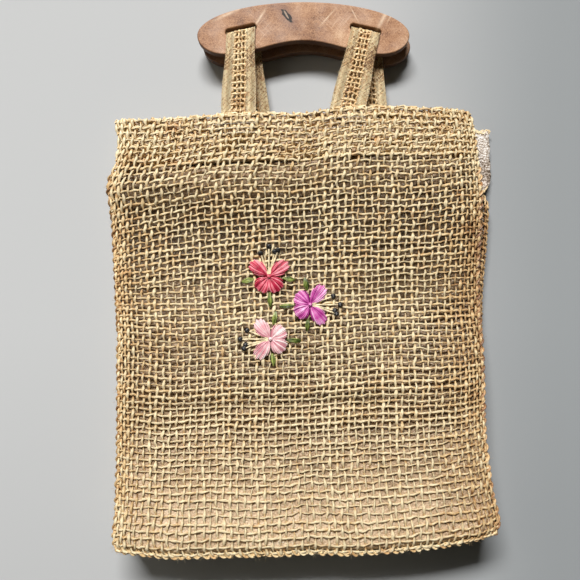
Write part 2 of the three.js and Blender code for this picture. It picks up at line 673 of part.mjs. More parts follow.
// The gusset's lining follows the inside of the gusset, between the linings of the two panels.
function liningGusset() {
  const stations = gussetStations().filter(({ along }) => along < LINING_FIT.top);
  const last = RISES.length - 1;
  const point = (i, j, depth) => {
    const station = stations[i];
    const { across, along } = station;
    const foot = footHeight(along);
    const head = headHeight(station, STRAW);
    const hemmed = along > BELOW_HEM;
    const low = hemmed ? foot + GAP : LINING_BACK.high + LINING_FIT.seam;
    const high = hemmed ? head - GAP : liningHeight(across, along) - LINING - LINING_FIT.seam;
    const turned = turnedOut(station);
    const lowest = lerp((low - foot) / (head - foot), LINING_FIT.lowBare, turned);
    const highest = lerp((high - foot) / (head - foot), 1 - LINING_FIT.highBare, turned);
    const clear = GAP * (1 + 5 * turned * (1 - turned));
    const apart = 0.01;
    const rise = THREE.MathUtils.clamp(RISES[j], lowest + apart * j, highest - apart * (last - j));
    return wallPoint(station, rise, STRAW + clear + depth);
  };
  return sheetSolid(stations.length, RISES.length, (i, j) => point(i, j, 0), (i, j) => point(i, j, LINING));
}

function mesh(name, geometry, material) {
  const piece = new THREE.Mesh(geometry, material);
  piece.name = name;
  return piece;
}

const bag = new THREE.Group();
bag.add(mesh("front_panel", frontPanel(), strawMaterial()));
bag.add(mesh("back_panel", backPanel(), strawMaterial()));
bag.add(mesh("gusset", gusset(), strawMaterial()));
bag.add(mesh("lining_front", liningFront(), liningMaterial()));
bag.add(mesh("lining_back", liningBack(), liningMaterial()));
bag.add(mesh("lining_gusset", liningGusset(), liningMaterial()));
for (const [name, place] of Object.entries(HANDLES)) {
  const board = mesh(`handle_${name}`, handle(), woodMaterial());
  board.position.set(place.x, place.y, place.z);
  bag.add(board);
}
for (const spec of STRAPS) {
  bag.add(mesh(spec.name, strap(spec), webbingMaterial()));
}
for (const spec of FLOWERS) {
  bag.add(mesh(spec.name, flower(spec), threadMaterial(spec.colour)));
}

const box = new THREE.Box3().setFromObject(bag);
const centre = box.getCenter(new THREE.Vector3());
bag.position.set(-centre.x, -centre.y, -box.min.z);

export default bag;
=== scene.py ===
# %% [markdown]
# A straw tote bag, lying flat on its back and seen from straight above.
#
# The bag is an open weave of raffia yarn over a thin crinkled lining, with two wooden board handles that hang
# on webbing straps, and three flowers stitched on its front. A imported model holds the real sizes. This lesson
# dresses it: every yarn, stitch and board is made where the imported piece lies, in metres, +Z up.

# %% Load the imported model
import json
import math
import random

import bmesh
import bpy
import numpy as np
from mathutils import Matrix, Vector, noise

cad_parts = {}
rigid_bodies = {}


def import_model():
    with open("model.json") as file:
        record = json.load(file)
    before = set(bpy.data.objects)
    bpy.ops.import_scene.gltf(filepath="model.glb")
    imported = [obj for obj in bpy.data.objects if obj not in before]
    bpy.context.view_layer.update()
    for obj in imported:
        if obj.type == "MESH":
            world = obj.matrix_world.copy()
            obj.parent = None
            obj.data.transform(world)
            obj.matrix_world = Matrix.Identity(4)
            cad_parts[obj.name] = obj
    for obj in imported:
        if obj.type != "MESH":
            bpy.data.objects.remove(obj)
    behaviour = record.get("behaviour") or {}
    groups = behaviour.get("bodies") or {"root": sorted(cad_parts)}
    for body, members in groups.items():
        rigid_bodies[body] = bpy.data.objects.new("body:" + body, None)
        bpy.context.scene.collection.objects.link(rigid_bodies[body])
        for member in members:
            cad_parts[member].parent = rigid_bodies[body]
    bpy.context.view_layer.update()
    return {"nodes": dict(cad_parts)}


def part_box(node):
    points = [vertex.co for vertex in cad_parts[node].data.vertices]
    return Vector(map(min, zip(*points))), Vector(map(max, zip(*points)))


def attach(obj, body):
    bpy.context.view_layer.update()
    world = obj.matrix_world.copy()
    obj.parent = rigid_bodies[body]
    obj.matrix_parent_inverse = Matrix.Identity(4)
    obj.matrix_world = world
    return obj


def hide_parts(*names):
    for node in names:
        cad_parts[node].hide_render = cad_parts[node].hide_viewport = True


for leftover in list(bpy.data.objects):
    bpy.data.objects.remove(leftover)
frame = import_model()
MM = 0.001
print("pieces in the packed model:", len(frame["nodes"]))

# %% [markdown]
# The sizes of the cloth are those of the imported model, in millimetres, measured from a point on the surface
# near the middle of the bag. That point is found from a handle, so nothing here depends on where the packed
# model has its origin.

# %% Place of the measuring point
HANDLE_PLACES = {
    "front": {"x": 12.7, "y": 242, "z": 16.2},
    "back": {"x": 16.3, "y": 237, "z": 2.3},
}
HANDLE = {"long": 202, "rise": 32, "lobe": 26, "drop": 18, "arch": 13, "thick": 8.7, "round": 1.3}
low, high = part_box("handle_front")
handle_middle_y = HANDLE_PLACES["front"]["y"] + (HANDLE["rise"] - HANDLE["drop"]) / 2
ORIGIN = np.array([
    (low[0] + high[0]) / 2 - HANDLE_PLACES["front"]["x"] * MM,
    (low[1] + high[1]) / 2 - handle_middle_y * MM,
    0,
])


def to_row(points):
    """Places in millimetres from the measuring point, as metres in the model's frame."""
    return np.asarray(points, dtype=float) * MM + ORIGIN


print("measuring point:", [round(float(value), 4) for value in ORIGIN])

# %% [markdown]
# The camera comes first. The photograph was taken from straight above, from about as far as the picture is
# wide, so a plain perspective camera that looks down gives the same frame with no shift.

# %% Camera
CAMERA_HEIGHT = 580
FIELD_OF_VIEW = 52.8
camera_data = bpy.data.cameras.new("camera")
camera_data.angle = math.radians(FIELD_OF_VIEW)
camera = bpy.data.objects.new("camera", camera_data)
camera.location = to_row([0, 0, CAMERA_HEIGHT])
bpy.context.scene.collection.objects.link(camera)
bpy.context.scene.camera = camera
print("camera at", [round(value, 3) for value in camera.location])

# %% [markdown]
# The light is soft and comes from the top of the picture, like a window. It stands fairly low, so that it rakes
# over the yarns and leaves a dark shadow below the bag. A weak light from the left and a pale sky fill the rest.
# The floor is a pale sheet with painted shade in its colour: darker to the right and towards the top of the
# picture. Colours are shown as they are, without a film look.

# %% Light and floor
WINDOW = {"place": (-750, 3900, 3800), "wide": 3.0, "high": 1.0, "power": 470, "colour": (1.0, 0.975, 0.94)}
FILL = {"place": (-1300, 300, 900), "wide": 1.0, "high": 1.0, "power": 3.0, "colour": (1.0, 0.94, 0.82)}
SKY = {"colour": (1.0, 0.92, 0.72), "strength": 0.028}
# Painted shade: the floor's colour darkens from left to right, and towards the top of the picture.
FLOOR = {
    "size": 6.0,
    "drop": 0.0004,
    "left": (0.535, 0.555, 0.575),
    "right": (0.325, 0.35, 0.37),
    "from": 0.03,
    "to": 0.26,
    "far": 0.86,
}
bpy.context.scene.view_settings.view_transform = "Standard"


def add_node(tree, kind, values=None, **settings):
    """A new node with its settings, and its inputs filled with values or with other nodes' outputs."""
    node = tree.nodes.new(kind)
    for name, value in settings.items():
        setattr(node, name, value)
    for name, value in (values or {}).items():
        if isinstance(value, bpy.types.NodeSocket):
            tree.links.new(value, node.inputs[name])
        else:
            node.inputs[name].default_value = value
    return node


def blank_material(name, **shader):
    """A material with a principled shader, and its tree and shader node."""
    material = bpy.data.materials.new(name)
    material.use_nodes = True
    principled = material.node_tree.nodes["Principled BSDF"]
    for label, value in shader.items():
        principled.inputs[label.replace("_", " ")].default_value = value
    return material, material.node_tree, principled


def soft_light(name, spec):
    """A flat area light, like a window, that looks at the bag."""
    data = bpy.data.lights.new(name, "AREA")
    data.shape = "RECTANGLE"
    data.size = spec["wide"]
    data.size_y = spec["high"]
    data.energy = spec["power"]
    data.color = spec["colour"]
    light = bpy.data.objects.new(name, data)
    light.location = to_row(spec["place"])
    light.rotation_euler = (-Vector(light.location)).to_track_quat("-Z", "Y").to_euler()
    bpy.context.scene.collection.objects.link(light)


soft_light("window", WINDOW)
soft_light("fill", FILL)

world = bpy.data.worlds.new("sky")
world.use_nodes = True
world.node_tree.nodes["Background"].inputs["Color"].default_value = (*SKY["colour"], 1)
world.node_tree.nodes["Background"].inputs["Strength"].default_value = SKY["strength"]
bpy.context.scene.world = world

floor_material, floor_tree, floor_shader = blank_material("pale floor", Roughness=0.7)
floor_place = add_node(floor_tree, "ShaderNodeSeparateXYZ",
                       {0: floor_tree.nodes.new("ShaderNodeTexCoord").outputs["Object"]})
# Painted shade: darker to the right and towards the top of the picture.
painted_falloff = add_node(floor_tree, "ShaderNodeMapRange", {0: floor_place.outputs[0], 1: FLOOR["from"], 2: FLOOR["to"]})
painted_far_shade = add_node(floor_tree, "ShaderNodeMapRange", {0: floor_place.outputs[1], 1: -0.05, 2: 0.3, 3: 1.0, 4: FLOOR["far"]})
floor_tone = add_node(floor_tree, "ShaderNodeValToRGB", {"Fac": painted_falloff.outputs[0]})
floor_tone.color_ramp.interpolation = "EASE"
floor_tone.color_ramp.elements[0].color = (*FLOOR["left"], 1)
floor_tone.color_ramp.elements[1].color = (*FLOOR["right"], 1)
dimmed = add_node(floor_tree, "ShaderNodeVectorMath",
                  {0: floor_tone.outputs[0], "Scale": painted_far_shade.outputs[0]}, operation="SCALE")
floor_tree.links.new(dimmed.outputs[0], floor_shader.inputs["Base Color"])
floor_mesh = bpy.data.meshes.new("floor")
half = FLOOR["size"] / 2
corners = [(-half, -half), (half, -half), (half, half), (-half, half)]
floor_mesh.from_pydata([(x, y, -FLOOR["drop"]) for x, y in corners], [], [(0, 1, 2, 3)])
floor_mesh.materials.append(floor_material)
floor = bpy.data.objects.new("floor", floor_mesh)
bpy.context.scene.collection.objects.link(floor)
print("light, sky and floor are in place")

# %% [markdown]
# The lying cloth is described as a maker would note it down: where its edges are and how high it stands, at
# stations from the base of the bag (0) to its mouth (1). Smooth curves run through each column, so a few rows
# are enough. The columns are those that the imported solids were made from.

# %% Shape of the lying bag
STRAW = 2.4
EDGE_ROLL = {"wide": 12, "drop": 3.5}
CORNER = {"front": 9, "back": 12}
HEM = {"deep": 45, "thick": 4.4}
STATIONS = [0, 0.05, 0.1, 0.2, 0.3, 0.4, 0.5, 0.6, 0.7, 0.8, 0.84, 0.9, 0.95, 1]
SIDES = {
    "along": STATIONS,
    "front_left": [-161, -161.8, -160.6, -160.8, -161.8, -162.2, -163, -166, -168.5, -170.8, -173, -166.5, -164.5, -168],
    "front_right": [192, 190.5, 186.5, 182, 181.2, 182, 180.8, 180.2, 181.5, 182, 181, 178.5, 177, 172.5],
    "back_left": [-158, -160, -161, -162, -162, -162, -162, -163, -164, -165, -165, -165, -164, -164],
    "back_right": [190, 189, 187, 184, 182, 181, 181, 179, 176, 170, 165, 162, 161, 160],
    "left_swell": [2, 0, -2, -4, -5, -6, -7, -7, -7, -7, -7, -8, -8, -8],
    "right_swell": [2, 2, 2, 3, 4, 5, 6, 9, 13, 17, 17, 14, 12, 12],
}
ENDS = {
    "across": [0, 0.14, 0.28, 0.42, 0.52, 0.62, 0.74, 0.86, 0.95, 1],
    "front_base": [-241, -245.3, -243.5, -242.6, -241, -242, -239.5, -235.5, -230.5, -225],
    "front_mouth": [161.5, 163, 166, 168.2, 167.8, 172.2, 174, 173, 171.8, 169],
    "back_base": [-252, -254, -254, -253, -252, -251, -250, -247, -243, -239],
    "back_mouth": [149, 150, 151, 152, 153, 154, 155, 155.5, 156, 156],
}
HEIGHTS = {
    "along": [0, 0.05, 0.12, 0.2, 0.28, 0.36, 0.45, 0.55, 0.65, 0.74, 0.82, 0.87, 0.92, 1],
    "left": [49, 48.5, 44.5, 40, 36.5, 35, 32, 29, 27, 25.5, 29.5, 30, 28, 26],
    "left_middle": [50, 49.5, 45.5, 41, 36, 34.5, 30.5, 27, 24, 23.5, 28, 29.5, 29, 27.5],
    "middle": [50, 49.5, 45.5, 41, 36.5, 34, 30, 26, 23.5, 24, 26.5, 29, 29.5, 28],
    "right_middle": [50, 49.5, 46, 42, 37.5, 34.5, 29, 24, 25, 26.5, 27.5, 28, 29.5, 28],
    "right": [48, 48, 46, 43, 39, 36, 31, 25, 25, 27, 28.5, 29.5, 29, 26.5],
}
CREASES = [
    {"x": -17, "y": -109, "turn": 2.5, "long": 276, "wide": 7, "height": -2},
    {"x": -103, "y": -130, "turn": 5, "long": 103, "wide": 7, "height": -1.5},
    {"x": 94, "y": -95, "turn": 0, "long": 150, "wide": 8, "height": 1.2},
    {"x": -133, "y": 97, "turn": 4, "long": 90, "wide": 9, "height": 1.6},
    {"x": -125, "y": 77, "turn": 6, "long": 95, "wide": 9, "height": -1.4},
    {"x": 75, "y": 45, "turn": 90, "long": 115, "wide": 7, "height": 0.8},
    {"x": 146, "y": -18, "turn": -10, "long": 55, "wide": 12, "height": -1.6},
    {"x": 60, "y": 122, "turn": 20, "long": 80, "wide": 12, "height": 1},
]
LINING_SAG = {
    "along": [0, 0.2, 0.27, 0.38, 0.6, 0.76, 0.86, 1],
    "deep": [0.6, 0.8, 2.2, 2.6, 4.5, 4, 2, 1.5],
}


def smoothstep(value, start, stop):
    """A soft step from 0 at start to 1 at stop."""
    share = np.clip((np.asarray(value, dtype=float) - start) / (stop - start), 0, 1)
    return share * share * (3 - 2 * share)


def smooth_curve(keys, values, at):
    """A smooth curve through a column, whose values may differ from point to point."""
    keys = np.asarray(keys, dtype=float)
    values = np.asarray(values, dtype=float)
    at = np.asarray(at, dtype=float)
    if values.ndim == 1:
        values = values.reshape(-1, *([1] * at.ndim)) * np.ones(at.shape)
    last = len(keys) - 1
    i = np.clip(np.searchsorted(keys, at, side="left") - 1, 0, last - 1)

    def pick(k):
        return np.take_along_axis(values, k[None], axis=0)[0]

    def slope(k):
        a = np.clip(k - 1, 0, last)
        b = np.clip(k + 1, 0, last)
        return (pick(b) - pick(a)) / (keys[b] - keys[a])

    span = keys[i + 1] - keys[i]
    t = np.clip((at - keys[i]) / span, 0, 1)
    rise = t * t * (3 - 2 * t)
    leave = t * (1 - t) ** 2 * span * slope(i)
    arrive = t * t * (t - 1) * span * slope(i + 1)
    return pick(i) + (pick(i + 1) - pick(i)) * rise + leave + arrive


def side(along, column):
    return smooth_curve(SIDES["along"], SIDES[column], along)


def end(across, column):
    return smooth_curve(ENDS["across"], ENDS[column], across)


def plan_point(panel, across, along, inset=0.0):
    """A point of a panel seen from above, with its rounded base corners."""
    radius = max(CORNER[panel] - inset, 1)
    base = end(across, f"{panel}_base") + inset
    mouth = end(across, f"{panel}_mouth")
    above = np.clip(along * (mouth - base), 0, radius)
    corner = radius - np.sqrt(radius**2 - (radius - above) ** 2)
    left = side(along, f"{panel}_left") + inset + corner
    right = side(along, f"{panel}_right") - inset - corner
    return left + (right - left) * across, base + (mouth - base) * along


def crease_height(crease, x, y):
    """A bell across a crease, fading out at both ends."""
    turn = math.radians(crease["turn"])
    dx, dy = x - crease["x"], y - crease["y"]
    lengthwise = dx * math.cos(turn) + dy * math.sin(turn)
    across = dy * math.cos(turn) - dx * math.sin(turn)
    fade = 1 - smoothstep(np.abs(lengthwise), 0.3 * crease["long"], 0.6 * crease["long"])
    return crease["height"] * fade * np.exp(-((across / crease["wide"]) ** 2))


def face_height(across, along, x, y, creased=True):
    """Height of the front panel's face over the surface that the bag lies on."""
    columns = ["left", "left_middle", "middle", "right_middle", "right"]
    rows = np.array([smooth_curve(HEIGHTS["along"], HEIGHTS[name], along) for name in columns])
    height = smooth_curve(np.linspace(0, 1, len(columns)), rows, across)
    edges = [x - side(along, "front_left"), side(along, "front_right") - x, y - end(across, "front_base")]
    roll = 1 - np.clip(np.minimum.reduce(edges) / EDGE_ROLL["wide"], 0, 1)
    if creased:
        height = height + (1 - roll) * sum(crease_height(crease, x, y) for crease in CREASES)
    return height - EDGE_ROLL["drop"] * roll * roll


def front_stations(x, y):
    """The front panel's stations at a place seen from above, found in a few steps."""
    across = np.full(np.shape(x), 0.5)
    along = np.full(np.shape(x), 0.5)
    for _ in range(6):
        base = end(across, "front_base")
        along = (y - base) / (end(across, "front_mouth") - base)
        left = side(along, "front_left")
        across = (x - left) / (side(along, "front_right") - left)
    return across, along


def front_height_at(x, y):
    x, y = np.asarray(x, dtype=float), np.asarray(y, dtype=float)
    across, along = front_stations(x, y)
    return face_height(across, along, x, y)


print("front panel's height at the middle:", round(float(front_height_at(10.0, -30.0)), 1), "mm")

# %% [markdown]
# Cloth needs a surface to be woven on. Each panel gets a fine grid of points on its middle face. The grid's UV
# map says which yarn goes where: one unit across holds all the warps, one unit along all the wefts. Warps crowd
# at the side seams and wefts lie further apart near the base, so the map is drawn in or out there. The grids
# are patterns only and are thrown away once they are woven on.

# %% Patterns to weave on
WARP_PITCH = 6.25
WEFT_PITCH = 5.95
WARP_DENSITY = {"at": [0, 0.015, 0.04, 0.075, 0.9, 0.95, 0.985, 1], "yarns": [2.3, 2.1, 1.5, 1, 1, 1.45, 2.1, 2.3]}
WEFT_DENSITY = {"at": [0, 0.02, 0.12, 0.2, 0.5, 0.9, 1], "yarns": [1.1, 0.88, 0.88, 1.03, 1.02, 0.99, 0.99]}


def grid_mesh(name, points, u, v):
    """A grid of faces on points[row][column], with a UV map and the smooth upward direction of each point."""
    rows, columns = points.shape[:2]
    mesh = bpy.data.meshes.new(name)
    index = np.arange(rows * columns).reshape(rows, columns)
    faces = np.stack([index[:-1, :-1], index[:-1, 1:], index[1:, 1:], index[1:, :-1]], axis=-1).reshape(-1, 4)
    mesh.from_pydata(points.reshape(-1, 3).tolist(), [], faces.tolist())
    layer = mesh.uv_layers.new(name="UVMap")
    flat_u, flat_v = u.reshape(-1), v.reshape(-1)
    order = faces.reshape(-1)
    layer.data.foreach_set("uv", np.stack([flat_u[order], flat_v[order]], axis=-1).reshape(-1))
    up = np.cross(np.gradient(points, axis=1), np.gradient(points, axis=0))
    up = up / np.maximum(np.linalg.norm(up, axis=-1, keepdims=True), 1e-12)
    mesh.attributes.new("up", "FLOAT_VECTOR", "POINT").data.foreach_set("vector", up.reshape(-1))
    return mesh


def yarn_places(count, density):
    """Shares of a length that are even in yarns, and the mean number of yarns in a pitch."""
    place = np.linspace(0, 1, 600)
    yarns = np.cumsum(np.interp(place, density["at"], density["yarns"]))
    shares = (yarns - yarns[0]) / (yarns[-1] - yarns[0])
    return np.interp(np.linspace(0, 1, count), shares, place), float(yarns[-1] / len(place))


def row_bow(across, along):
    """How far the wefts run out of true: they dip to the left side below the hem, and wave a little."""
    dip = -0.030 * np.exp(-across / 0.11) * smoothstep(along, 0.5, 0.72) * (1 - smoothstep(along, 0.8, 0.93))
    right = 0.010 * np.exp(-(1 - across) / 0.10) * smoothstep(along, 0.45, 0.7) * (1 - smoothstep(along, 0.85, 0.95))
    wave = 0.0022 * np.sin(9 * across + 5 * along) + 0.0016 * np.sin(17 * across - 11 * along)
    edge = smoothstep(along, 0, 0.08) * (1 - smoothstep(along, 0.93, 1))
    return dip + right + wave * edge


def hemmed_rows(long, count):
    """Rows up a face, round the mouth and down inside: shares of the face, turns and numbers of wefts."""
    fold = STRAW / 2
    up_face, mean = yarn_places(count, WEFT_DENSITY)
    wefts = long / WEFT_PITCH * mean
    turn = np.linspace(0, math.pi, 7)[1:]
    down = np.linspace(0, HEM["deep"] / long, 14)[1:]
    share = np.concatenate([up_face, np.ones(len(turn)), 1 - down])
    angle = np.concatenate([np.zeros(count), turn, np.full(len(down), math.pi)])
    turned = wefts + turn * fold / WEFT_PITCH
    number = np.concatenate([np.linspace(0, wefts, count), turned, turned[-1] + down * long / WEFT_PITCH])
    return share, angle, number


def cloth_pattern(name, panel, columns, rows):
    """A panel's cloth, with its hem turned in, as a pattern with its numbers of warps and wefts."""
    wide = float(side(0.5, f"{panel}_right") - side(0.5, f"{panel}_left"))
    long = float(end(0.5, f"{panel}_mouth") - end(0.5, f"{panel}_base"))
    fold = STRAW / 2
    across, mean = yarn_places(columns, WARP_DENSITY)
    share, angle, number = hemmed_rows(long, rows)
    points = []
    for step, station in enumerate(share):
        along = np.full(columns, station)
        on_face = angle[step] == 0
        if on_face and panel == "front":
            along = along + row_bow(across, along)
        inset = 1.5 if angle[step] == math.pi else 0
        x, y = plan_point(panel, across, along, inset)
        down = fold * (1 - math.cos(angle[step]))
        if panel == "front":
            z = face_height(across, along, x, y) - STRAW / 2 - down
        else:
            z = np.full(columns, STRAW / 2 + down)
        points.append(np.stack([x, y + fold * math.sin(angle[step]), z], axis=-1))
    u = np.repeat(np.linspace(0, 1, columns)[None], len(share), axis=0)
    v = np.repeat((number / number[-1])[:, None], columns, axis=1)
    mesh = grid_mesh(name, to_row(np.array(points)), u, v)
    flat_long = long + math.pi * fold + HEM["deep"]
    return {"mesh": mesh, "wide": wide, "long": flat_long,
            "warps": round(wide / WARP_PITCH * mean), "wefts": round(float(number[-1]))}


front_cloth = cloth_pattern("front pattern", "front", 90, 110)
back_cloth = cloth_pattern("back pattern", "back", 70, 80)
for cloth in (front_cloth, back_cloth):
    print(cloth["mesh"].name, cloth["warps"], "warps and", cloth["wefts"], "wefts")

# %% [markdown]
# The gusset is one strip, sewn down the left side, across the base and up the right side. It joins the edges of
# the two panels, swells out or folds in between them, and at the upper right its seam is open: the loose end
# lies out flat beside the bag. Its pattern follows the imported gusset, station by station.

# %% Pattern of the gusset
OPEN_SEAM = {"start": 0.79, "turned": 0.885}
LOOSE_END = {"out": [-1.2, 0.3, 5, 12, 24, 37], "up": [0, 2.9, 2.2, -0.6, -1.4, 0.4]}
GAP = 0.3


def gusset_stations(spacing):
    """Stations down the left side, across the base and up the right side, with their outward directions."""
    long = float(end(0.5, "front_mouth") - end(0.5, "front_base"))
    round_off = [CORNER["front"] * (1 - math.cos(turn * math.pi / 2)) / long for turn in np.linspace(0, 1, 7)]
    up = np.concatenate([round_off, np.linspace(round_off[-1], 1, int(long / spacing))[1:]])
    base = np.linspace(0, 1, int(340 / spacing))[1:-1]
    across = np.concatenate([np.zeros(len(up)), base, np.ones(len(up))])
    along = np.concatenate([up[::-1], np.zeros(len(base)), up])
    way = np.concatenate([-np.ones(len(up)), np.zeros(len(base)), np.ones(len(up))])
    above = along * (end(across, "front_mouth") - end(across, "front_base"))
    turn = np.arccos(np.clip(1 - above / CORNER["front"], 0, 1))
    out = np.stack([way * np.sin(turn), np.where(way == 0, -1, -np.cos(turn))], axis=-1)
    return across, along, way, out


def gusset_wall(rise, depth, spacing=4.5, until=1.0):
    """Points of the gusset at shares of its height, at a depth from its outer face: [rise][station]."""
    across, along, way, out = gusset_stations(spacing)
    keep = along <= until
    across, along, way, out = across[keep], along[keep], way[keep], out[keep]
    back = np.stack(plan_point("back", across, along), axis=-1)
    front = np.stack(plan_point("front", across, along), axis=-1)
    hem_line = 1 - HEM["deep"] / float(end(0.5, "front_mouth") - end(0.5, "front_base"))
    foot = np.where(along > hem_line - 0.01, HEM["thick"], STRAW) + GAP
    thick = np.where(along > hem_line, HEM["thick"], STRAW)
    head = face_height(across, along, front[:, 0], front[:, 1]) - thick - 2 * GAP
    swell = np.where(way < 0, side(along, "left_swell"), side(along, "right_swell"))
    turned = np.where(way > 0, smoothstep(along, OPEN_SEAM["start"], OPEN_SEAM["turned"]), 0)
    lean = np.sum((front - back) * out, axis=-1)
    shares = np.linspace(0, 1, len(LOOSE_END["out"]))

    def line(share):
        sewn = swell * math.sin(math.pi * share) ** 2 - STRAW / 2
        loose_out = float(smooth_curve(shares, LOOSE_END["out"], np.array(share)))
        loose_up = float(smooth_curve(shares, LOOSE_END["up"], np.array(share)))
        reach = sewn + (loose_out - sewn) * turned
        height = foot + (head - foot) * share
        return reach, height + (foot + loose_up - height) * turned

    rows = []
    step = 0.02
    for share in rise:
        low_share, high_share = max(share - step, 0), min(share + step, 1)
        low_out, low_up = line(low_share)
        high_out, high_up = line(high_share)
        sideways = (high_share - low_share) * (1 - turned) * lean + high_out - low_out
        slope = np.stack([sideways, high_up - low_up], axis=-1)
        slope = slope / np.linalg.norm(slope, axis=-1, keepdims=True)
        reach, height = line(share)
        inward = depth - STRAW / 2
        place = back + (front - back) * (share * (1 - turned))[:, None]
        place = place + out * (reach - slope[:, 1] * inward)[:, None]
        rows.append(np.stack([place[:, 0], place[:, 1], height + slope[:, 0] * inward], axis=-1))
    return np.array(rows)


def strip_pattern(name, rows):
    """A grid on a long strip, its map even along the strip's real length."""
    middle = rows[len(rows) // 2]
    steps = np.linalg.norm(np.diff(middle, axis=0), axis=-1)
    travelled = np.concatenate([[0], np.cumsum(steps)])
    u = np.repeat((travelled / travelled[-1])[None], len(rows), axis=0)
    v = np.repeat(np.linspace(0, 1, len(rows))[:, None], len(middle), axis=1)
    return grid_mesh(name, to_row(rows), u, v), float(travelled[-1])


def flat_size(rows):
    """Width and length of a sheet laid flat, in metres, from its grid: along its middle row and across its rows."""
    middle = rows[len(rows) // 2]
    along_row = np.linalg.norm(np.diff(middle, axis=0), axis=-1).sum()
    across_rows = np.linalg.norm(np.diff(rows, axis=0), axis=-1).sum(axis=0).mean()
    return float(along_row) * MM, float(across_rows) * MM


gusset_cloth, gusset_long = strip_pattern("gusset pattern", gusset_wall(np.linspace(0.02, 0.98, 13), STRAW / 2))
gusset_flat = flat_size(gusset_wall(np.linspace(0, 1, 41), STRAW / 2))
print("gusset strip:", [round(value, 3) for value in gusset_flat], "m")

# %% [markdown]
# Plain weave: warps and wefts pass over and under each other in turn. It could be a bump on a sheet, but the
# gaps are as wide as the yarns, so real yarns are worth their faces. A Geometry Nodes tree lays a line for
# each yarn on the pattern's UV map, lifts it over or under each crossing, lets it wander and change in
# thickness, and gives it a flattened section. Two rings at a crossing are enough for the eye.

# %% The weaving tree
def socket(tree, name, kind, value=None, low=None):
    """A named input of a tree."""
    item = tree.interface.new_socket(name=name, in_out="INPUT", socket_type=kind)
    if value is not None:
        item.default_value = value
    if low is not None:
        item.min_value = low
    return item


def maths(tree, operation, a, b=None, c=None):
    """The output of one sum, with numbers or other outputs as its terms."""
    node = tree.nodes.new("ShaderNodeMath")
    node.operation = operation
    for i, value in enumerate((a, b, c)):
        if isinstance(value, bpy.types.NodeSocket):
            tree.links.new(value, node.inputs[i])
        elif value is not None:
            node.inputs[i].default_value = value
    return node.outputs[0]


def combine(tree, x, y, z=0.0):
    node = tree.nodes.new("ShaderNodeCombineXYZ")
    for i, value in enumerate((x, y, z)):
        if isinstance(value, bpy.types.NodeSocket):
            tree.links.new(value, node.inputs[i])
        else:
            node.inputs[i].default_value = value
    return node.outputs[0]


def grain(tree, x, y, z=0.0, scale=1.0):
    """Smooth noise around 0, at a place."""
    node = add_node(tree, "ShaderNodeTexNoise", {"Vector": combine(tree, x, y, z), "Scale": scale, "Detail": 1.0})
    return maths(tree, "SUBTRACT", node.outputs[0], 0.5)


def sampled(tree, cloth, value, uv, kind="FLOAT_VECTOR"):
    """The value of the pattern at a place of its UV map."""
    node = tree.nodes.new("GeometryNodeSampleUVSurface")
    node.data_type = kind
    tree.links.new(cloth, node.inputs["Mesh"])
    tree.links.new(value, node.inputs["Value"])
    uv_map = add_node(tree, "GeometryNodeInputNamedAttribute", {"Name": "UVMap"}, data_type="FLOAT_VECTOR")
    tree.links.new(uv_map.outputs[0], node.inputs["Source UV Map"])
    tree.links.new(uv, node.inputs["Sample UV"])
    return node.outputs[0]


def store(tree, geometry, name, value, domain="POINT", kind="FLOAT"):
    node = add_node(tree, "GeometryNodeStoreNamedAttribute", {"Geometry": geometry, "Name": name},
                    domain=domain, data_type=kind)
    tree.links.new(value, node.inputs["Value"])
    return node.outputs[0]


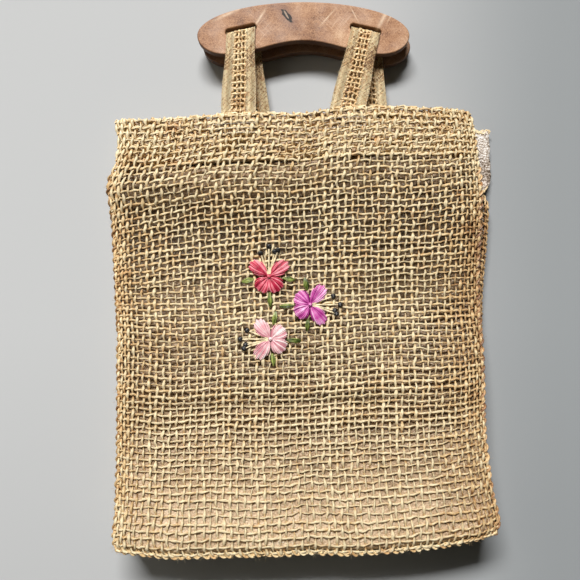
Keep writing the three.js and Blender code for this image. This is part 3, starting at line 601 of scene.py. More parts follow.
def yarns(tree, given, cloth, strands, crossings, other, over):
    """One direction of yarns, as curves. Warps pass over where over is 1, wefts where it is 0."""
    line = add_node(tree, "GeometryNodeCurvePrimitiveLine", {"End": (1, 0, 0)})
    rings = maths(tree, "MULTIPLY", crossings, 2)
    fine = add_node(tree, "GeometryNodeResampleCurve", {"Curve": line.outputs[0], "Count": rings}, mode="COUNT")
    starts = add_node(tree, "GeometryNodePoints", {"Count": strands})
    copies = add_node(tree, "GeometryNodeInstanceOnPoints",
                      {"Points": starts.outputs[0], "Instance": fine.outputs[0]})
    number = tree.nodes.new("GeometryNodeInputIndex").outputs[0]
    numbered = store(tree, copies.outputs[0], "strand", number, "INSTANCE", "INT")
    curves = add_node(tree, "GeometryNodeRealizeInstances", {"Geometry": numbered}).outputs[0]

    strand = add_node(tree, "GeometryNodeInputNamedAttribute", {"Name": "strand"}, data_type="INT").outputs[0]
    ring = tree.nodes.new("GeometryNodeSplineParameter").outputs["Index"]
    crossing = maths(tree, "FLOOR", maths(tree, "DIVIDE", ring, 2))
    odd_ring = maths(tree, "SUBTRACT", ring, maths(tree, "MULTIPLY", crossing, 2))
    place = maths(tree, "ADD", crossing, maths(tree, "MULTIPLY_ADD", odd_ring, given["Ring Spread"], 0.5))
    place = maths(tree, "SUBTRACT", place, maths(tree, "MULTIPLY", given["Ring Spread"], 0.5))
    lane = maths(tree, "ADD", strand, 0.5)
    parity = maths(tree, "MODULO", maths(tree, "ADD", strand, crossing), 2)
    way = maths(tree, "MULTIPLY_ADD", parity, -2 if over else 2, 1 if over else -1)
    lean = maths(tree, "MULTIPLY", maths(tree, "MULTIPLY_ADD", odd_ring, 2, -1), way)
    level = maths(tree, "DIVIDE", place, crossings) if over else maths(tree, "DIVIDE", lane, strands)
    hooked = maths(tree, "MULTIPLY", maths(tree, "MAXIMUM", maths(tree, "SUBTRACT", level, 0.5), 0.0), given["Hooked"])
    slant = maths(tree, "MULTIPLY", maths(tree, "ADD", given["Slant"], hooked), 1.0 if over else 0.6)
    lane = maths(tree, "MULTIPLY_ADD", lean, slant, lane)

    seed = maths(tree, "MULTIPLY_ADD", given["Seed"], 7.7, 31.0 * over)
    slow = maths(tree, "MULTIPLY", place, 0.21)
    apart = maths(tree, "MULTIPLY", strand, 3.3)
    wander = maths(tree, "MULTIPLY", grain(tree, apart, slow, seed), given["Wander"])
    tremble = maths(tree, "MULTIPLY", grain(tree, apart, maths(tree, "MULTIPLY", place, 0.9), seed),
                    maths(tree, "MULTIPLY", given["Wander"], 0.7))
    lane = maths(tree, "ADD", lane, maths(tree, "ADD", wander, tremble))
    along = maths(tree, "DIVIDE", place, crossings)
    across = maths(tree, "DIVIDE", lane, strands)
    across = add_node(tree, "ShaderNodeClamp", {0: across, 1: 0.001, 2: 0.999}).outputs[0]
    uv = combine(tree, across, along) if over else combine(tree, along, across)

    swing = maths(tree, "MULTIPLY_ADD", grain(tree, apart, place, maths(tree, "ADD", seed, 5)), 0.7, 1.0)
    lift = maths(tree, "MULTIPLY", maths(tree, "MULTIPLY", way, swing), given["Crimp"])
    lift = maths(tree, "ADD", lift, maths(tree, "MULTIPLY", given["Crimp"], other))

    position = tree.nodes.new("GeometryNodeInputPosition").outputs[0]
    up_attribute = add_node(tree, "GeometryNodeInputNamedAttribute", {"Name": "up"}, data_type="FLOAT_VECTOR")
    point = sampled(tree, cloth, position, uv)
    up = sampled(tree, cloth, up_attribute.outputs[0], uv)
    raised = add_node(tree, "ShaderNodeVectorMath", {0: up, "Scale": lift}, operation="SCALE").outputs[0]
    target = add_node(tree, "ShaderNodeVectorMath", {0: point, 1: raised}, operation="ADD").outputs[0]
    laid = add_node(tree, "GeometryNodeSetPosition", {"Geometry": curves, "Position": target}).outputs[0]
    faced = add_node(tree, "GeometryNodeSetCurveNormal", {"Curve": laid, "Normal": up}, mode="FREE").outputs[0]

    plump = maths(tree, "MULTIPLY", grain(tree, apart, maths(tree, "MULTIPLY", place, 0.5),
                                          maths(tree, "ADD", seed, 11)), 1.5 if over else 1.0)
    each = add_node(tree, "FunctionNodeRandomValue", {"Seed": given["Seed"], "ID": strand}, data_type="FLOAT")
    each.inputs[2].default_value = 0.76
    each.inputs[3].default_value = 1.28
    swell = maths(tree, "MULTIPLY_ADD", way, 0.22 if over else 0.06, 1.02 if over else 0.95)
    height = along if over else across
    swell = maths(tree, "ADD", swell, maths(tree, "MULTIPLY", maths(tree, "SUBTRACT", height, 0.5), given["Taper"]))
    size = maths(tree, "MULTIPLY", maths(tree, "ADD", plump, each.outputs[1]), given["Yarn Radius"])
    size = maths(tree, "MULTIPLY", size, swell)
    sized = add_node(tree, "GeometryNodeSetCurveRadius", {"Curve": faced, "Radius": size}).outputs[0]

    tone = maths(tree, "MULTIPLY_ADD", grain(tree, apart, maths(tree, "MULTIPLY", place, 0.28),
                                             maths(tree, "ADD", seed, 17)), 1.4, 0.81)
    # Painted light and shade: the tone is raised where the yarn passes over a crossing and lowered where it dives
    # under.
    tone = maths(tree, "MULTIPLY_ADD", way, 0.24 if over else 0.12, tone)
    toned = store(tree, sized, "tone", tone)
    travelled = tree.nodes.new("GeometryNodeSplineParameter").outputs["Length"]
    return store(tree, toned, "along", travelled)


def tube(tree, curves, sides, flat):
    """Curves made into closed tubes with a flattened section."""
    circle = add_node(tree, "GeometryNodeCurvePrimitiveCircle", {"Resolution": sides, "Radius": 1.0}, mode="RADIUS")
    round_share = tree.nodes.new("GeometryNodeSplineParameter").outputs["Factor"]
    marked = store(tree, circle.outputs[0], "around", round_share)
    squashed = add_node(tree, "GeometryNodeTransform",
                        {"Geometry": marked, "Scale": combine(tree, flat, 1.0, 1.0)}).outputs[0]
    radius = tree.nodes.new("GeometryNodeInputRadius").outputs[0]
    made = add_node(tree, "GeometryNodeCurveToMesh",
                    {"Curve": curves, "Profile Curve": squashed, "Scale": radius, "Fill Caps": True})
    return add_node(tree, "GeometryNodeSetShadeSmooth", {"Geometry": made.outputs[0]}).outputs[0]


def finish_tree(tree, geometry, material):
    real = add_node(tree, "GeometryNodeRealizeInstances", {"Geometry": geometry}).outputs[0]
    painted = add_node(tree, "GeometryNodeSetMaterial", {"Geometry": real, "Material": material}).outputs[0]
    tree.interface.new_socket(name="Geometry", in_out="OUTPUT", socket_type="NodeSocketGeometry")
    tree.links.new(painted, tree.nodes.new("NodeGroupOutput").inputs[0])


def weaving_tree():
    tree = bpy.data.node_groups.new("plain weave", "GeometryNodeTree")
    socket(tree, "Cloth", "NodeSocketGeometry")
    socket(tree, "Warps", "NodeSocketInt", 56, 1)
    socket(tree, "Wefts", "NodeSocketInt", 66, 1)
    socket(tree, "Yarn Radius", "NodeSocketFloat", 1.1 * MM)
    socket(tree, "Flatness", "NodeSocketFloat", 0.62)
    socket(tree, "Crimp", "NodeSocketFloat", 0.6 * MM)
    socket(tree, "Wander", "NodeSocketFloat", 0.5)
    socket(tree, "Taper", "NodeSocketFloat", 0.0)
    socket(tree, "Slant", "NodeSocketFloat", 0.08)
    socket(tree, "Hooked", "NodeSocketFloat", 0.0)
    socket(tree, "Ring Spread", "NodeSocketFloat", 0.42)
    socket(tree, "Sides", "NodeSocketInt", 5, 3)
    socket(tree, "Seed", "NodeSocketInt", 3)
    socket(tree, "Material", "NodeSocketMaterial")
    given = tree.nodes.new("NodeGroupInput").outputs
    warps = yarns(tree, given, given["Cloth"], given["Warps"], given["Wefts"], 0.25, 1)
    wefts = yarns(tree, given, given["Cloth"], given["Wefts"], given["Warps"], 0.0, 0)
    both = tree.nodes.new("GeometryNodeJoinGeometry")
    tree.links.new(tube(tree, wefts, given["Sides"], given["Flatness"]), both.inputs[0])
    tree.links.new(tube(tree, warps, given["Sides"], given["Flatness"]), both.inputs[0])
    finish_tree(tree, both.outputs[0], given["Material"])
    return tree


WEAVE = weaving_tree()
print("weaving tree:", len(WEAVE.nodes), "nodes")

# %% [markdown]
# A tree is run on a pattern by a modifier. Its inputs are set by their sockets' identifiers before Blender
# looks at the object, the result is copied into a plain mesh, and the modifier's object is thrown away.

# %% Run a tree
def run_tree(tree, mesh, name, **inputs):
    """The plain mesh that a tree makes of a mesh, as a new object."""
    holder = bpy.data.objects.new(f"{name} pattern", mesh)
    bpy.context.scene.collection.objects.link(holder)
    modifier = holder.modifiers.new("make", "NODES")
    modifier.node_group = tree
    identifiers = {item.name: item.identifier for item in tree.interface.items_tree if item.in_out == "INPUT"}
    for label, value in inputs.items():
        modifier[identifiers[label.replace("_", " ")]] = value
    graph = bpy.context.evaluated_depsgraph_get()
    made = bpy.data.meshes.new_from_object(holder.evaluated_get(graph))
    made.name = name
    bpy.data.objects.remove(holder)
    piece = bpy.data.objects.new(name, made)
    bpy.context.scene.collection.objects.link(piece)
    print(name, "has", sum(len(face.vertices) - 2 for face in made.polygons), "triangles")
    return piece


# %% [markdown]
# Raffia straw runs from cream through straw yellow to brown, with rusty stretches. Each yarn carries three
# numbers from the weaving tree: its tone, how far along it a point is, and how far around. The tone varies
# from yarn to yarn, with painted light where a yarn passes over a crossing and painted shade where it dives
# under. It picks the colour, and the other two draw the fine twisted fibres as bump. Patches wider than a yarn
# come from noise on Object coordinates, which stay put on the piece. Painted light also lifts the tone towards
# the base, and painted shade lowers it at the side edges, mostly below the hem.

# %% Straw
STRAW_COLOURS = [
    (0.0, (0.20, 0.085, 0.03)),
    (0.22, (0.44, 0.232, 0.095)),
    (0.45, (0.70, 0.455, 0.215)),
    (0.7, (0.90, 0.665, 0.355)),
    (1.0, (1.0, 0.85, 0.56)),
]


def attribute(tree, name):
    return add_node(tree, "ShaderNodeAttribute", attribute_name=name).outputs["Fac"]


def ramp(tree, value, stops):
    """Colours along a value, from named stops."""
    node = add_node(tree, "ShaderNodeValToRGB", {"Fac": value})
    elements = node.color_ramp.elements
    while len(elements) < len(stops):
        elements.new(0.5)
    for element, (place, colour) in zip(elements, stops):
        element.position = place
        element.color = (*colour, 1)
    return node.outputs["Color"]


def mix(tree, share, a, b, mode="MIX"):
    node = add_node(tree, "ShaderNodeMix", data_type="RGBA", blend_type=mode)
    for label, value in (("Factor_Float", share), ("A_Color", a), ("B_Color", b)):
        target = next(item for item in node.inputs if item.identifier == label)
        if isinstance(value, bpy.types.NodeSocket):
            tree.links.new(value, target)
        else:
            target.default_value = value if label == "Factor_Float" else (*value, 1)
    return next(item for item in node.outputs if item.identifier == "Result_Color")


def object_noise(tree, scale, detail=2.0, stretch=(1, 1, 1)):
    place = tree.nodes.new("ShaderNodeTexCoord").outputs["Object"]
    mapped = add_node(tree, "ShaderNodeMapping", {"Vector": place, "Scale": stretch}).outputs[0]
    return add_node(tree, "ShaderNodeTexNoise", {"Vector": mapped, "Scale": scale, "Detail": detail}).outputs[0]


def fibre_lines(tree, around, length):
    """Fine fibres that run along a yarn, from 0 to 1."""
    turn = maths(tree, "MULTIPLY", attribute(tree, "around"), around)
    travel = maths(tree, "DIVIDE", attribute(tree, "along"), length)
    node = add_node(tree, "ShaderNodeTexNoise", {"Vector": combine(tree, turn, travel), "Scale": 1.0, "Detail": 2.0})
    return node.outputs[0]


def ply_twist(tree, length):
    """The groove between the two plies of a yarn, from 0 to 1."""
    angle = maths(tree, "MULTIPLY", attribute(tree, "around"), 4 * math.pi)
    travel = maths(tree, "MULTIPLY", attribute(tree, "along"), 2 * math.pi / length)
    return maths(tree, "MULTIPLY_ADD", maths(tree, "SINE", maths(tree, "ADD", angle, travel)), 0.5, 0.5)


def straw_material(name, stops, brightness=0.0, fleck_scale=420, fleck=0.6):
    """Straw of a ramp of colours, flecks of a chosen fineness and strength, and painted light and edge shade."""
    material, tree, shader = blank_material(name, Roughness=0.42, Specular_IOR_Level=0.5)
    place = add_node(tree, "ShaderNodeSeparateXYZ", {0: tree.nodes.new("ShaderNodeTexCoord").outputs["Object"]})
    # Painted light and shade: the tone is lifted towards the base and lowered at the left and right edges.
    painted_light_to_base = add_node(tree, "ShaderNodeMapRange", {0: place.outputs[1], 1: 0.02, 2: -0.24, 3: 0.03, 4: 0.21})
    painted_shade_right = add_node(tree, "ShaderNodeMapRange", {0: place.outputs[0], 1: 0.115, 2: 0.16, 3: 0.0, 4: -0.47})
    painted_shade_left = add_node(tree, "ShaderNodeMapRange", {0: place.outputs[0], 1: -0.12, 2: -0.165, 3: 0.0, 4: -0.28})
    below_hem = add_node(tree, "ShaderNodeMapRange", {0: place.outputs[1], 1: 0.03, 2: 0.11, 3: 1.0, 4: 0.2})
    edges = maths(tree, "ADD", painted_shade_right.outputs[0], painted_shade_left.outputs[0])
    edges = maths(tree, "MULTIPLY", edges, below_hem.outputs[0])
    patches = maths(tree, "MULTIPLY_ADD", object_noise(tree, 26, 3), 0.7, -0.35)
    flecks = maths(tree, "MULTIPLY_ADD", object_noise(tree, fleck_scale, 2), fleck, -fleck / 2)
    fibres = maths(tree, "MULTIPLY_ADD", fibre_lines(tree, 11, 0.009), 1.0, -0.5 + brightness)
    twist = maths(tree, "MULTIPLY_ADD", ply_twist(tree, 0.011), 0.16, -0.08)
    tone = attribute(tree, "tone")
    for part in (patches, flecks, fibres, twist, painted_light_to_base.outputs[0], edges):
        tone = maths(tree, "ADD", tone, part)
    colour = ramp(tree, tone, stops)
    rust = maths(tree, "GREATER_THAN", object_noise(tree, 95, 2), 0.64)
    colour = mix(tree, maths(tree, "MULTIPLY", rust, 0.3), colour, (0.66, 0.30, 0.09))
    tree.links.new(colour, shader.inputs["Base Color"])
    relief = maths(tree, "ADD", ply_twist(tree, 0.011), fibre_lines(tree, 14, 0.012))
    bump = add_node(tree, "ShaderNodeBump", {"Height": relief, "Strength": 0.8, "Distance": 0.0005})
    tree.links.new(bump.outputs[0], shader.inputs["Normal"])
    return material


straw = straw_material("straw yarn", STRAW_COLOURS)
print("straw material:", len(straw.node_tree.nodes), "nodes")

# %% [markdown]
# The panels and the gusset are woven now. The front is the one that is looked at, so its yarns have five
# sides and wander most. The back lies on the surface, so it keeps to its pattern and has four.

# %% Weave the panels and the gusset
front = run_tree(
    WEAVE, front_cloth["mesh"], "woven_front",
    Warps=front_cloth["warps"], Wefts=front_cloth["wefts"], Yarn_Radius=1.0 * MM,
    Flatness=0.78, Crimp=0.64 * MM, Wander=0.8, Taper=0.2, Slant=0.04, Hooked=0.18, Ring_Spread=0.42,
    Sides=5, Seed=3, Material=straw,
)
back = run_tree(
    WEAVE, back_cloth["mesh"], "woven_back",
    Warps=back_cloth["warps"], Wefts=back_cloth["wefts"], Yarn_Radius=0.95 * MM,
    Flatness=0.74, Crimp=0.5 * MM, Wander=0.5, Slant=0.03, Ring_Spread=0.44, Sides=4, Seed=8, Material=straw,
)
gusset = run_tree(
    WEAVE, gusset_cloth, "woven_gusset",
    Warps=round(gusset_long / WEFT_PITCH * 1.05), Wefts=8, Yarn_Radius=1.0 * MM,
    Flatness=0.7, Crimp=0.6 * MM, Wander=0.6, Slant=0.03, Ring_Spread=0.44, Sides=5, Seed=14, Material=straw,
)
for piece, node in ((front, "front_panel"), (back, "back_panel"), (gusset, "gusset")):
    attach(piece, "root")
    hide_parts(node)

# %% [markdown]
# The lining is a thin milky film. It lies under the weave, sags where the bag is empty and crinkles all over.
# On the loose end of the gusset it faces up and shows white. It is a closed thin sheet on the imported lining.

# %% Lining
LINING = {"thick": 0.5, "inset": 4.2, "clear": 1.2}


def crinkle(points, height, scale, seed):
    """Moves points up and down by noise, to crumple a film."""
    flat = points.reshape(-1, 3)
    for i, place in enumerate(flat):
        spot = Vector((place[0] / scale, place[1] / scale, place[2] / scale + seed))
        flat[i, 2] += height * (noise.noise(spot) + 0.6 * noise.noise(spot * 2.3))
    return flat.reshape(points.shape)


def film_piece(name, points, thick, material, tones=None):
    """A closed thin sheet from a grid of middle points."""
    rows, columns = points.shape[:2]
    u = np.repeat(np.linspace(0, 1, columns)[None], rows, axis=0)
    v = np.repeat(np.linspace(0, 1, rows)[:, None], columns, axis=1)
    mesh = grid_mesh(name, to_row(points), u, v)
    if tones is not None:
        mesh.attributes.new("tone", "FLOAT", "POINT").data.foreach_set("value", tones.reshape(-1).astype(np.float32))
    mesh.materials.append(material)
    piece = bpy.data.objects.new(name, mesh)
    bpy.context.scene.collection.objects.link(piece)
    solid = piece.modifiers.new("thickness", "SOLIDIFY")
    solid.thickness = thick * MM
    solid.offset = 0
    graph = bpy.context.evaluated_depsgraph_get()
    thickened = bpy.data.meshes.new_from_object(piece.evaluated_get(graph))
    piece.modifiers.clear()
    piece.data = thickened
    for face in thickened.polygons:
        face.use_smooth = True
    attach(piece, "root")
    print(name, "has", len(thickened.polygons), "faces")
    return piece


MILKY = [
    (0.0, (0.035, 0.019, 0.009)),
    (0.35, (0.19, 0.125, 0.065)),
    (0.65, (0.53, 0.385, 0.25)),
    (0.85, (0.71, 0.555, 0.39)),
    (1.0, (0.88, 0.79, 0.64)),
]
SILVERY = [
    (0.0, (0.07, 0.045, 0.03)),
    (0.3, (0.25, 0.185, 0.135)),
    (0.6, (0.55, 0.46, 0.38)),
    (0.9, (0.90, 0.86, 0.82)),
]


def film_material(name, stops, speckle_scale, speckle_and_painted_glints):
    material, tree, shader = blank_material(name, Roughness=0.32, Specular_IOR_Level=0.5)
    wide = object_noise(tree, 60, 3)
    fine = object_noise(tree, speckle_scale, 2)
    tone = maths(tree, "ADD", attribute(tree, "tone"), maths(tree, "MULTIPLY_ADD", wide, 0.5, -0.25))
    # The speckle is partly the film's own spotting and partly painted glints of light on its crinkles.
    tone = maths(tree, "ADD", tone, maths(tree, "MULTIPLY_ADD", fine, speckle_and_painted_glints, -speckle_and_painted_glints / 2))
    colour = ramp(tree, tone, stops)
    tree.links.new(colour, shader.inputs["Base Color"])
    bump = add_node(tree, "ShaderNodeBump", {"Height": object_noise(tree, 450, 4), "Strength": 1.0, "Distance": 0.0014})
    tree.links.new(bump.outputs[0], shader.inputs["Normal"])
    return material


def front_film_painted_shade_and_light(across, along):
    """How pale the film looks, as painted shade: darkest where it sags away below the hem, palest near the base."""
    tone = smooth_curve([0, 0.1, 0.25, 0.4, 0.6, 0.7, 0.8, 0.86, 1],
                        [0.80, 0.68, 0.47, 0.41, 0.36, 0.22, 0.24, 0.42, 0.5], along)
    lit = smoothstep(across, 0.1, 0.2) * (1 - smoothstep(across, 0.5, 0.65)) * smoothstep(along, 0.81, 0.86)
    # Painted shade darkens the film to the right, and a painted patch of light lies just below the hem, left of the
    # middle.
    return tone - 0.1 * (across - 0.5) + 0.15 * lit


film = film_material("milky film", MILKY, 700, 0.7)
film_across = np.linspace(0, 1, 110)
film_along = np.linspace(0, 0.889, 120)
grid_across, grid_along = np.meshgrid(film_across, film_along)
grid_along[-1] -= 0.0045 * smoothstep(film_across, 0.08, 0.2) * (1 - smoothstep(film_across, 0.5, 0.6))
film_x, film_y = plan_point("front", grid_across, grid_along, LINING["inset"])
film_middle = np.minimum(1, 0.5 + 4 * np.minimum(grid_across, 1 - grid_across))
film_sag = smooth_curve(LINING_SAG["along"], LINING_SAG["deep"], grid_along) * film_middle
film_z = face_height(grid_across, grid_along, film_x, film_y, creased=False) - STRAW - LINING["clear"] - film_sag + 0.1
film_z = film_z + 0.9 * (1 - smoothstep(grid_along, 0.25, 0.5))
film_points = crinkle(np.stack([film_x, film_y, film_z], axis=-1), 0.4, 9, 4)
# The front film's tones are painted shade and light.
lining_front = film_piece("film_front", film_points, LINING["thick"], film, front_film_painted_shade_and_light(grid_across, grid_along))
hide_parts("lining_front")

back_across, back_along = np.meshgrid(np.linspace(0, 1, 60), np.linspace(0, 0.88, 70))
back_x, back_y = plan_point("back", back_across, back_along, LINING["inset"])
back_points = crinkle(np.stack([back_x, back_y, np.full(back_x.shape, STRAW + 1.1)], axis=-1), 0.25, 9, 9)
lining_back = film_piece("film_back", back_points, LINING["thick"], film, np.full(back_x.shape, 0.3))
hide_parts("lining_back")

inner = gusset_wall(np.linspace(0.04, 0.97, 19), STRAW + GAP + 0.5)
inner_tone = np.full(inner.shape[:2], 0.45)
inner_along = gusset_stations(4.5)[1]
inner_right = np.arange(len(inner_along)) > len(inner_along) / 2
bare = np.where(inner_right, smoothstep(inner_along, 0.86, 0.94), 0)
inner_tone = inner_tone + 0.29 * bare[None]
for row, wall in enumerate(inner):
    for column, place in enumerate(wall):
        rag = noise.noise(Vector((place[0] / 4, place[1] / 4, 7.0))) * bare[column]
        inner[row, column] = place + np.array([1.6 * rag, 0.8 * rag, 0])
        inner_tone[row, column] += 0.5 * noise.noise(Vector((place[0] / 3, place[1] / 3, 1.0))) * bare[column]
inner_tone -= 0.42 * (bare * (1 - smoothstep(inner_along, 0.88, 0.95)))[None]
speckled = film_material("speckled film", SILVERY, 650, 2.5)
lining_gusset = film_piece("film_gusset", crinkle(inner, 0.45, 4, 2), LINING["thick"], speckled, inner_tone)
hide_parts("lining_gusset")

# %% [markdown]
# The hem is backed by a smooth facing under its two layers of cloth, which shows pinkish through them.

# %% Facing under the front hem
facing_across, facing_along = np.meshgrid(np.linspace(0.01, 0.99, 70), np.linspace(0.8895, 0.995, 12))
facing_x, facing_y = plan_point("front", facing_across, facing_along)
facing_z = face_height(facing_across, facing_along, facing_x, facing_y) - HEM["thick"] - 0.6
facing_points = np.stack([facing_x, facing_y, facing_z], axis=-1)
facing = film_piece("hem_facing", facing_points, 0.4, film, np.full(facing_x.shape, 0.56))
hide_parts("front_panel")

# %% [markdown]
# Everything that is sewn is a thread on a path: satin stitches, stalks, machine stitches, loose fibres and the
# webbing's herringbone. One small tree turns paths into round threads. Each path is a chain of edges that
# carries its own radius and tone.

# %% The thread tree
def thread_tree():
    tree = bpy.data.node_groups.new("threads", "GeometryNodeTree")
    socket(tree, "Paths", "NodeSocketGeometry")
    socket(tree, "Thickness", "NodeSocketFloat", 1.0)
    socket(tree, "Sides", "NodeSocketInt", 4, 3)
    socket(tree, "Flatness", "NodeSocketFloat", 1.0)
    socket(tree, "Material", "NodeSocketMaterial")
    given = tree.nodes.new("NodeGroupInput").outputs
    curves = add_node(tree, "GeometryNodeMeshToCurve", {"Mesh": given["Paths"]}).outputs[0]
    up = add_node(tree, "GeometryNodeSetCurveNormal", {"Curve": curves}, mode="Z_UP").outputs[0]
    radius = add_node(tree, "GeometryNodeInputNamedAttribute", {"Name": "radius"}, data_type="FLOAT").outputs[0]
    size = maths(tree, "MULTIPLY", radius, given["Thickness"])
    sized = add_node(tree, "GeometryNodeSetCurveRadius", {"Curve": up, "Radius": size}).outputs[0]
    travelled = tree.nodes.new("GeometryNodeSplineParameter").outputs["Length"]
    marked = store(tree, sized, "along", travelled)
    finish_tree(tree, tube(tree, marked, given["Sides"], given["Flatness"]), given["Material"])
    return tree


THREADS = thread_tree()


def threads(name, paths, material, sides=4, flatness=1.0):
    """One piece from many paths, each a dict of points in millimetres, a radius and a tone."""
    points, edges, radii, tones = [], [], [], []
    for path in paths:
        start = len(points)
        count = len(path["points"])
        points.extend(path["points"])
        edges.extend((start + k, start + k + 1) for k in range(count - 1))
        taper = path.get("taper", 0.0)
        for k in range(count):
            share = k / (count - 1)
            thin = 1 - taper * abs(2 * share - 1) ** 2
            radii.append(path["radius"] * MM * thin)
            tones.append(path["tone"] + (path.get("tip_tone", path["tone"]) - path["tone"]) * share)
    points = np.array(points, dtype=float)
    points[:, 2] = np.maximum(points[:, 2], np.array(radii) / MM)
    mesh = bpy.data.meshes.new(f"{name} paths")
    mesh.from_pydata(to_row(points).tolist(), edges, [])
    mesh.attributes.new("radius", "FLOAT", "POINT").data.foreach_set("value", radii)
    mesh.attributes.new("tone", "FLOAT", "POINT").data.foreach_set("value", tones)
    piece = run_tree(THREADS, mesh, name, Thickness=1.0, Sides=sides, Flatness=flatness, Material=material)
    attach(piece, "root")
    return piece


# %% [markdown]
# Each handle is a kidney-shaped board with two slots, cut from stained and varnished wood with softly rounded
# edges. A flat curve with holes fills itself, so it is drawn as one: a low dome over two lobes, an arch between
# them, and two slots. Its bevel gives the round edge.

# %% Handles
SLOT = {"out": 59.3, "up": 5.6, "long": 30, "high": 6.4, "turn": 12.5}


def board_outline(fine):
    """Points round a handle, anticlockwise."""
    half_long = HANDLE["long"] / 2
    lobe_middle = half_long - HANDLE["lobe"]
    points = []
    for t in np.arange(0, 1, 1 / (4 * fine)):
        points.append((half_long * math.cos(math.pi * t), HANDLE["rise"] * math.sin(math.pi * t)))
    for t in np.arange(0, 1, 1 / fine):
        angle = math.pi * (1 + t / 2)
        points.append((-lobe_middle + HANDLE["lobe"] * math.cos(angle), HANDLE["drop"] * math.sin(angle)))
    for t in np.arange(0, 1, 1 / (3 * fine)):
        x = -lobe_middle + 2 * lobe_middle * t
        points.append((x, -HANDLE["drop"] + HANDLE["arch"] * (1 + math.cos(math.pi * x / lobe_middle)) / 2))
    for t in np.arange(0, 1, 1 / fine):
        angle = math.pi * (1.5 + t / 2)
        points.append((lobe_middle + HANDLE["lobe"] * math.cos(angle), HANDLE["drop"] * math.sin(angle)))
    return points


def slot_outline(way, fine):
    """Points round a slot: a bar with round ends, turned to face its strap."""
    radius = SLOT["high"] / 2
    reach = SLOT["long"] / 2 - radius
    turn = math.radians(-way * SLOT["turn"])
    points = []
    for k in range(4 * fine):
        angle = 2 * math.pi * (k + 0.5) / (4 * fine)
        x = math.copysign(reach, math.cos(angle)) + radius * math.cos(angle)
        y = radius * math.sin(angle)
        points.append((
            x * math.cos(turn) - y * math.sin(turn) + way * SLOT["out"],
            x * math.sin(turn) + y * math.cos(turn) + SLOT["up"],
        ))
    return points


def flat_curve(outlines, thick, round_edge):
    """A flat curve with holes, thickened and rounded, as a mesh around its middle height."""
    curve = bpy.data.curves.new("board", "CURVE")
    curve.dimensions = "2D"
    curve.fill_mode = "BOTH"
    curve.extrude = (thick / 2 - round_edge) * MM
    curve.bevel_depth = round_edge * MM
    curve.offset = -round_edge * MM
    curve.bevel_resolution = 4
    for outline in outlines:
        spline = curve.splines.new("POLY")
        spline.points.add(len(outline) - 1)
        for point, (x, y) in zip(spline.points, outline):
            point.co = (x * MM, y * MM, 0, 1)
        spline.use_cyclic_u = True
    holder = bpy.data.objects.new("board", curve)
    bpy.context.scene.collection.objects.link(holder)
    graph = bpy.context.evaluated_depsgraph_get()
    mesh = bpy.data.meshes.new_from_object(holder.evaluated_get(graph))
    bpy.data.objects.remove(holder)
    shell = bmesh.new()
    shell.from_mesh(mesh)
    bmesh.ops.remove_doubles(shell, verts=shell.verts, dist=1e-6)
    bmesh.ops.recalc_face_normals(shell, faces=shell.faces)
    shell.to_mesh(mesh)
    shell.free()
    return mesh


# %% [markdown]
# The wood is a warm brown with fine grain along the board, with painted shade on its edges that do not face
# up, a dark knot left of the middle and pale scratches in the varnish. The knot and scratches are placed by
# their own coordinates on each board.

# %% Wood
SHADE = {"front": 0.0, "back": 0.32}
KNOT = {"x": -15.6, "y": 18.6, "long": 16, "wide": 5.6, "turn": -52}
KNOT_CORE = {"x": -16.2, "y": 19.6, "long": 9.5, "wide": 1.7, "turn": -60}
WOOD_SCRATCHES = [
    {"x": 76, "y": 16.5, "turn": 62, "long": 30, "wide": 3.4},
    {"x": 83.5, "y": 19, "turn": 60, "long": 14, "wide": 1.4},
    {"x": 48, "y": 20.7, "turn": -62, "long": 17, "wide": 1.1},
    {"x": 23, "y": 17, "turn": 48, "long": 20, "wide": 1.3},
    {"x": -41, "y": 17, "turn": 58, "long": 18, "wide": 2.2},
    {"x": -72, "y": 20, "turn": 24, "long": 24, "wide": 2.6},
]


def turned_place(tree, place, spot, centre):
    """Coordinates along and across a mark on the board, in millimetres."""
    turn = math.radians(spot["turn"])
    middle = to_row([centre["x"] + spot["x"], centre["y"] + spot["y"], 0])
    moved = add_node(tree, "ShaderNodeVectorMath", {0: place, 1: tuple(middle[:2]) + (0,)}, operation="SUBTRACT")
    spun = add_node(tree, "ShaderNodeVectorRotate", {"Vector": moved.outputs[0], "Angle": -turn},
                    rotation_type="Z_AXIS")
    parts = add_node(tree, "ShaderNodeSeparateXYZ", {0: spun.outputs[0]}).outputs
    return maths(tree, "DIVIDE", parts[0], MM), maths(tree, "DIVIDE", parts[1], MM)


def mark(tree, place, spot, centre, crisp=False):
    """1 on a long mark, fading to 0 around it, or with a crisp uneven edge."""
    along, across = turned_place(tree, place, spot, centre)
    a = maths(tree, "POWER", maths(tree, "ABSOLUTE", maths(tree, "DIVIDE", along, spot["long"] / 2)), 2.0)
    b = maths(tree, "POWER", maths(tree, "ABSOLUTE", maths(tree, "DIVIDE", across, spot["wide"] / 2)), 2.0)
    far = maths(tree, "ADD", a, b)
    if crisp:
        far = maths(tree, "ADD", far, maths(tree, "MULTIPLY_ADD", object_noise(tree, 420, 3), 1.8, -0.9))
        return add_node(tree, "ShaderNodeMapRange", {0: far, 1: 0.8, 2: 1.15, 3: 1.0, 4: 0.0}).outputs[0]
    return maths(tree, "EXPONENT", maths(tree, "MULTIPLY", far, -1.0))


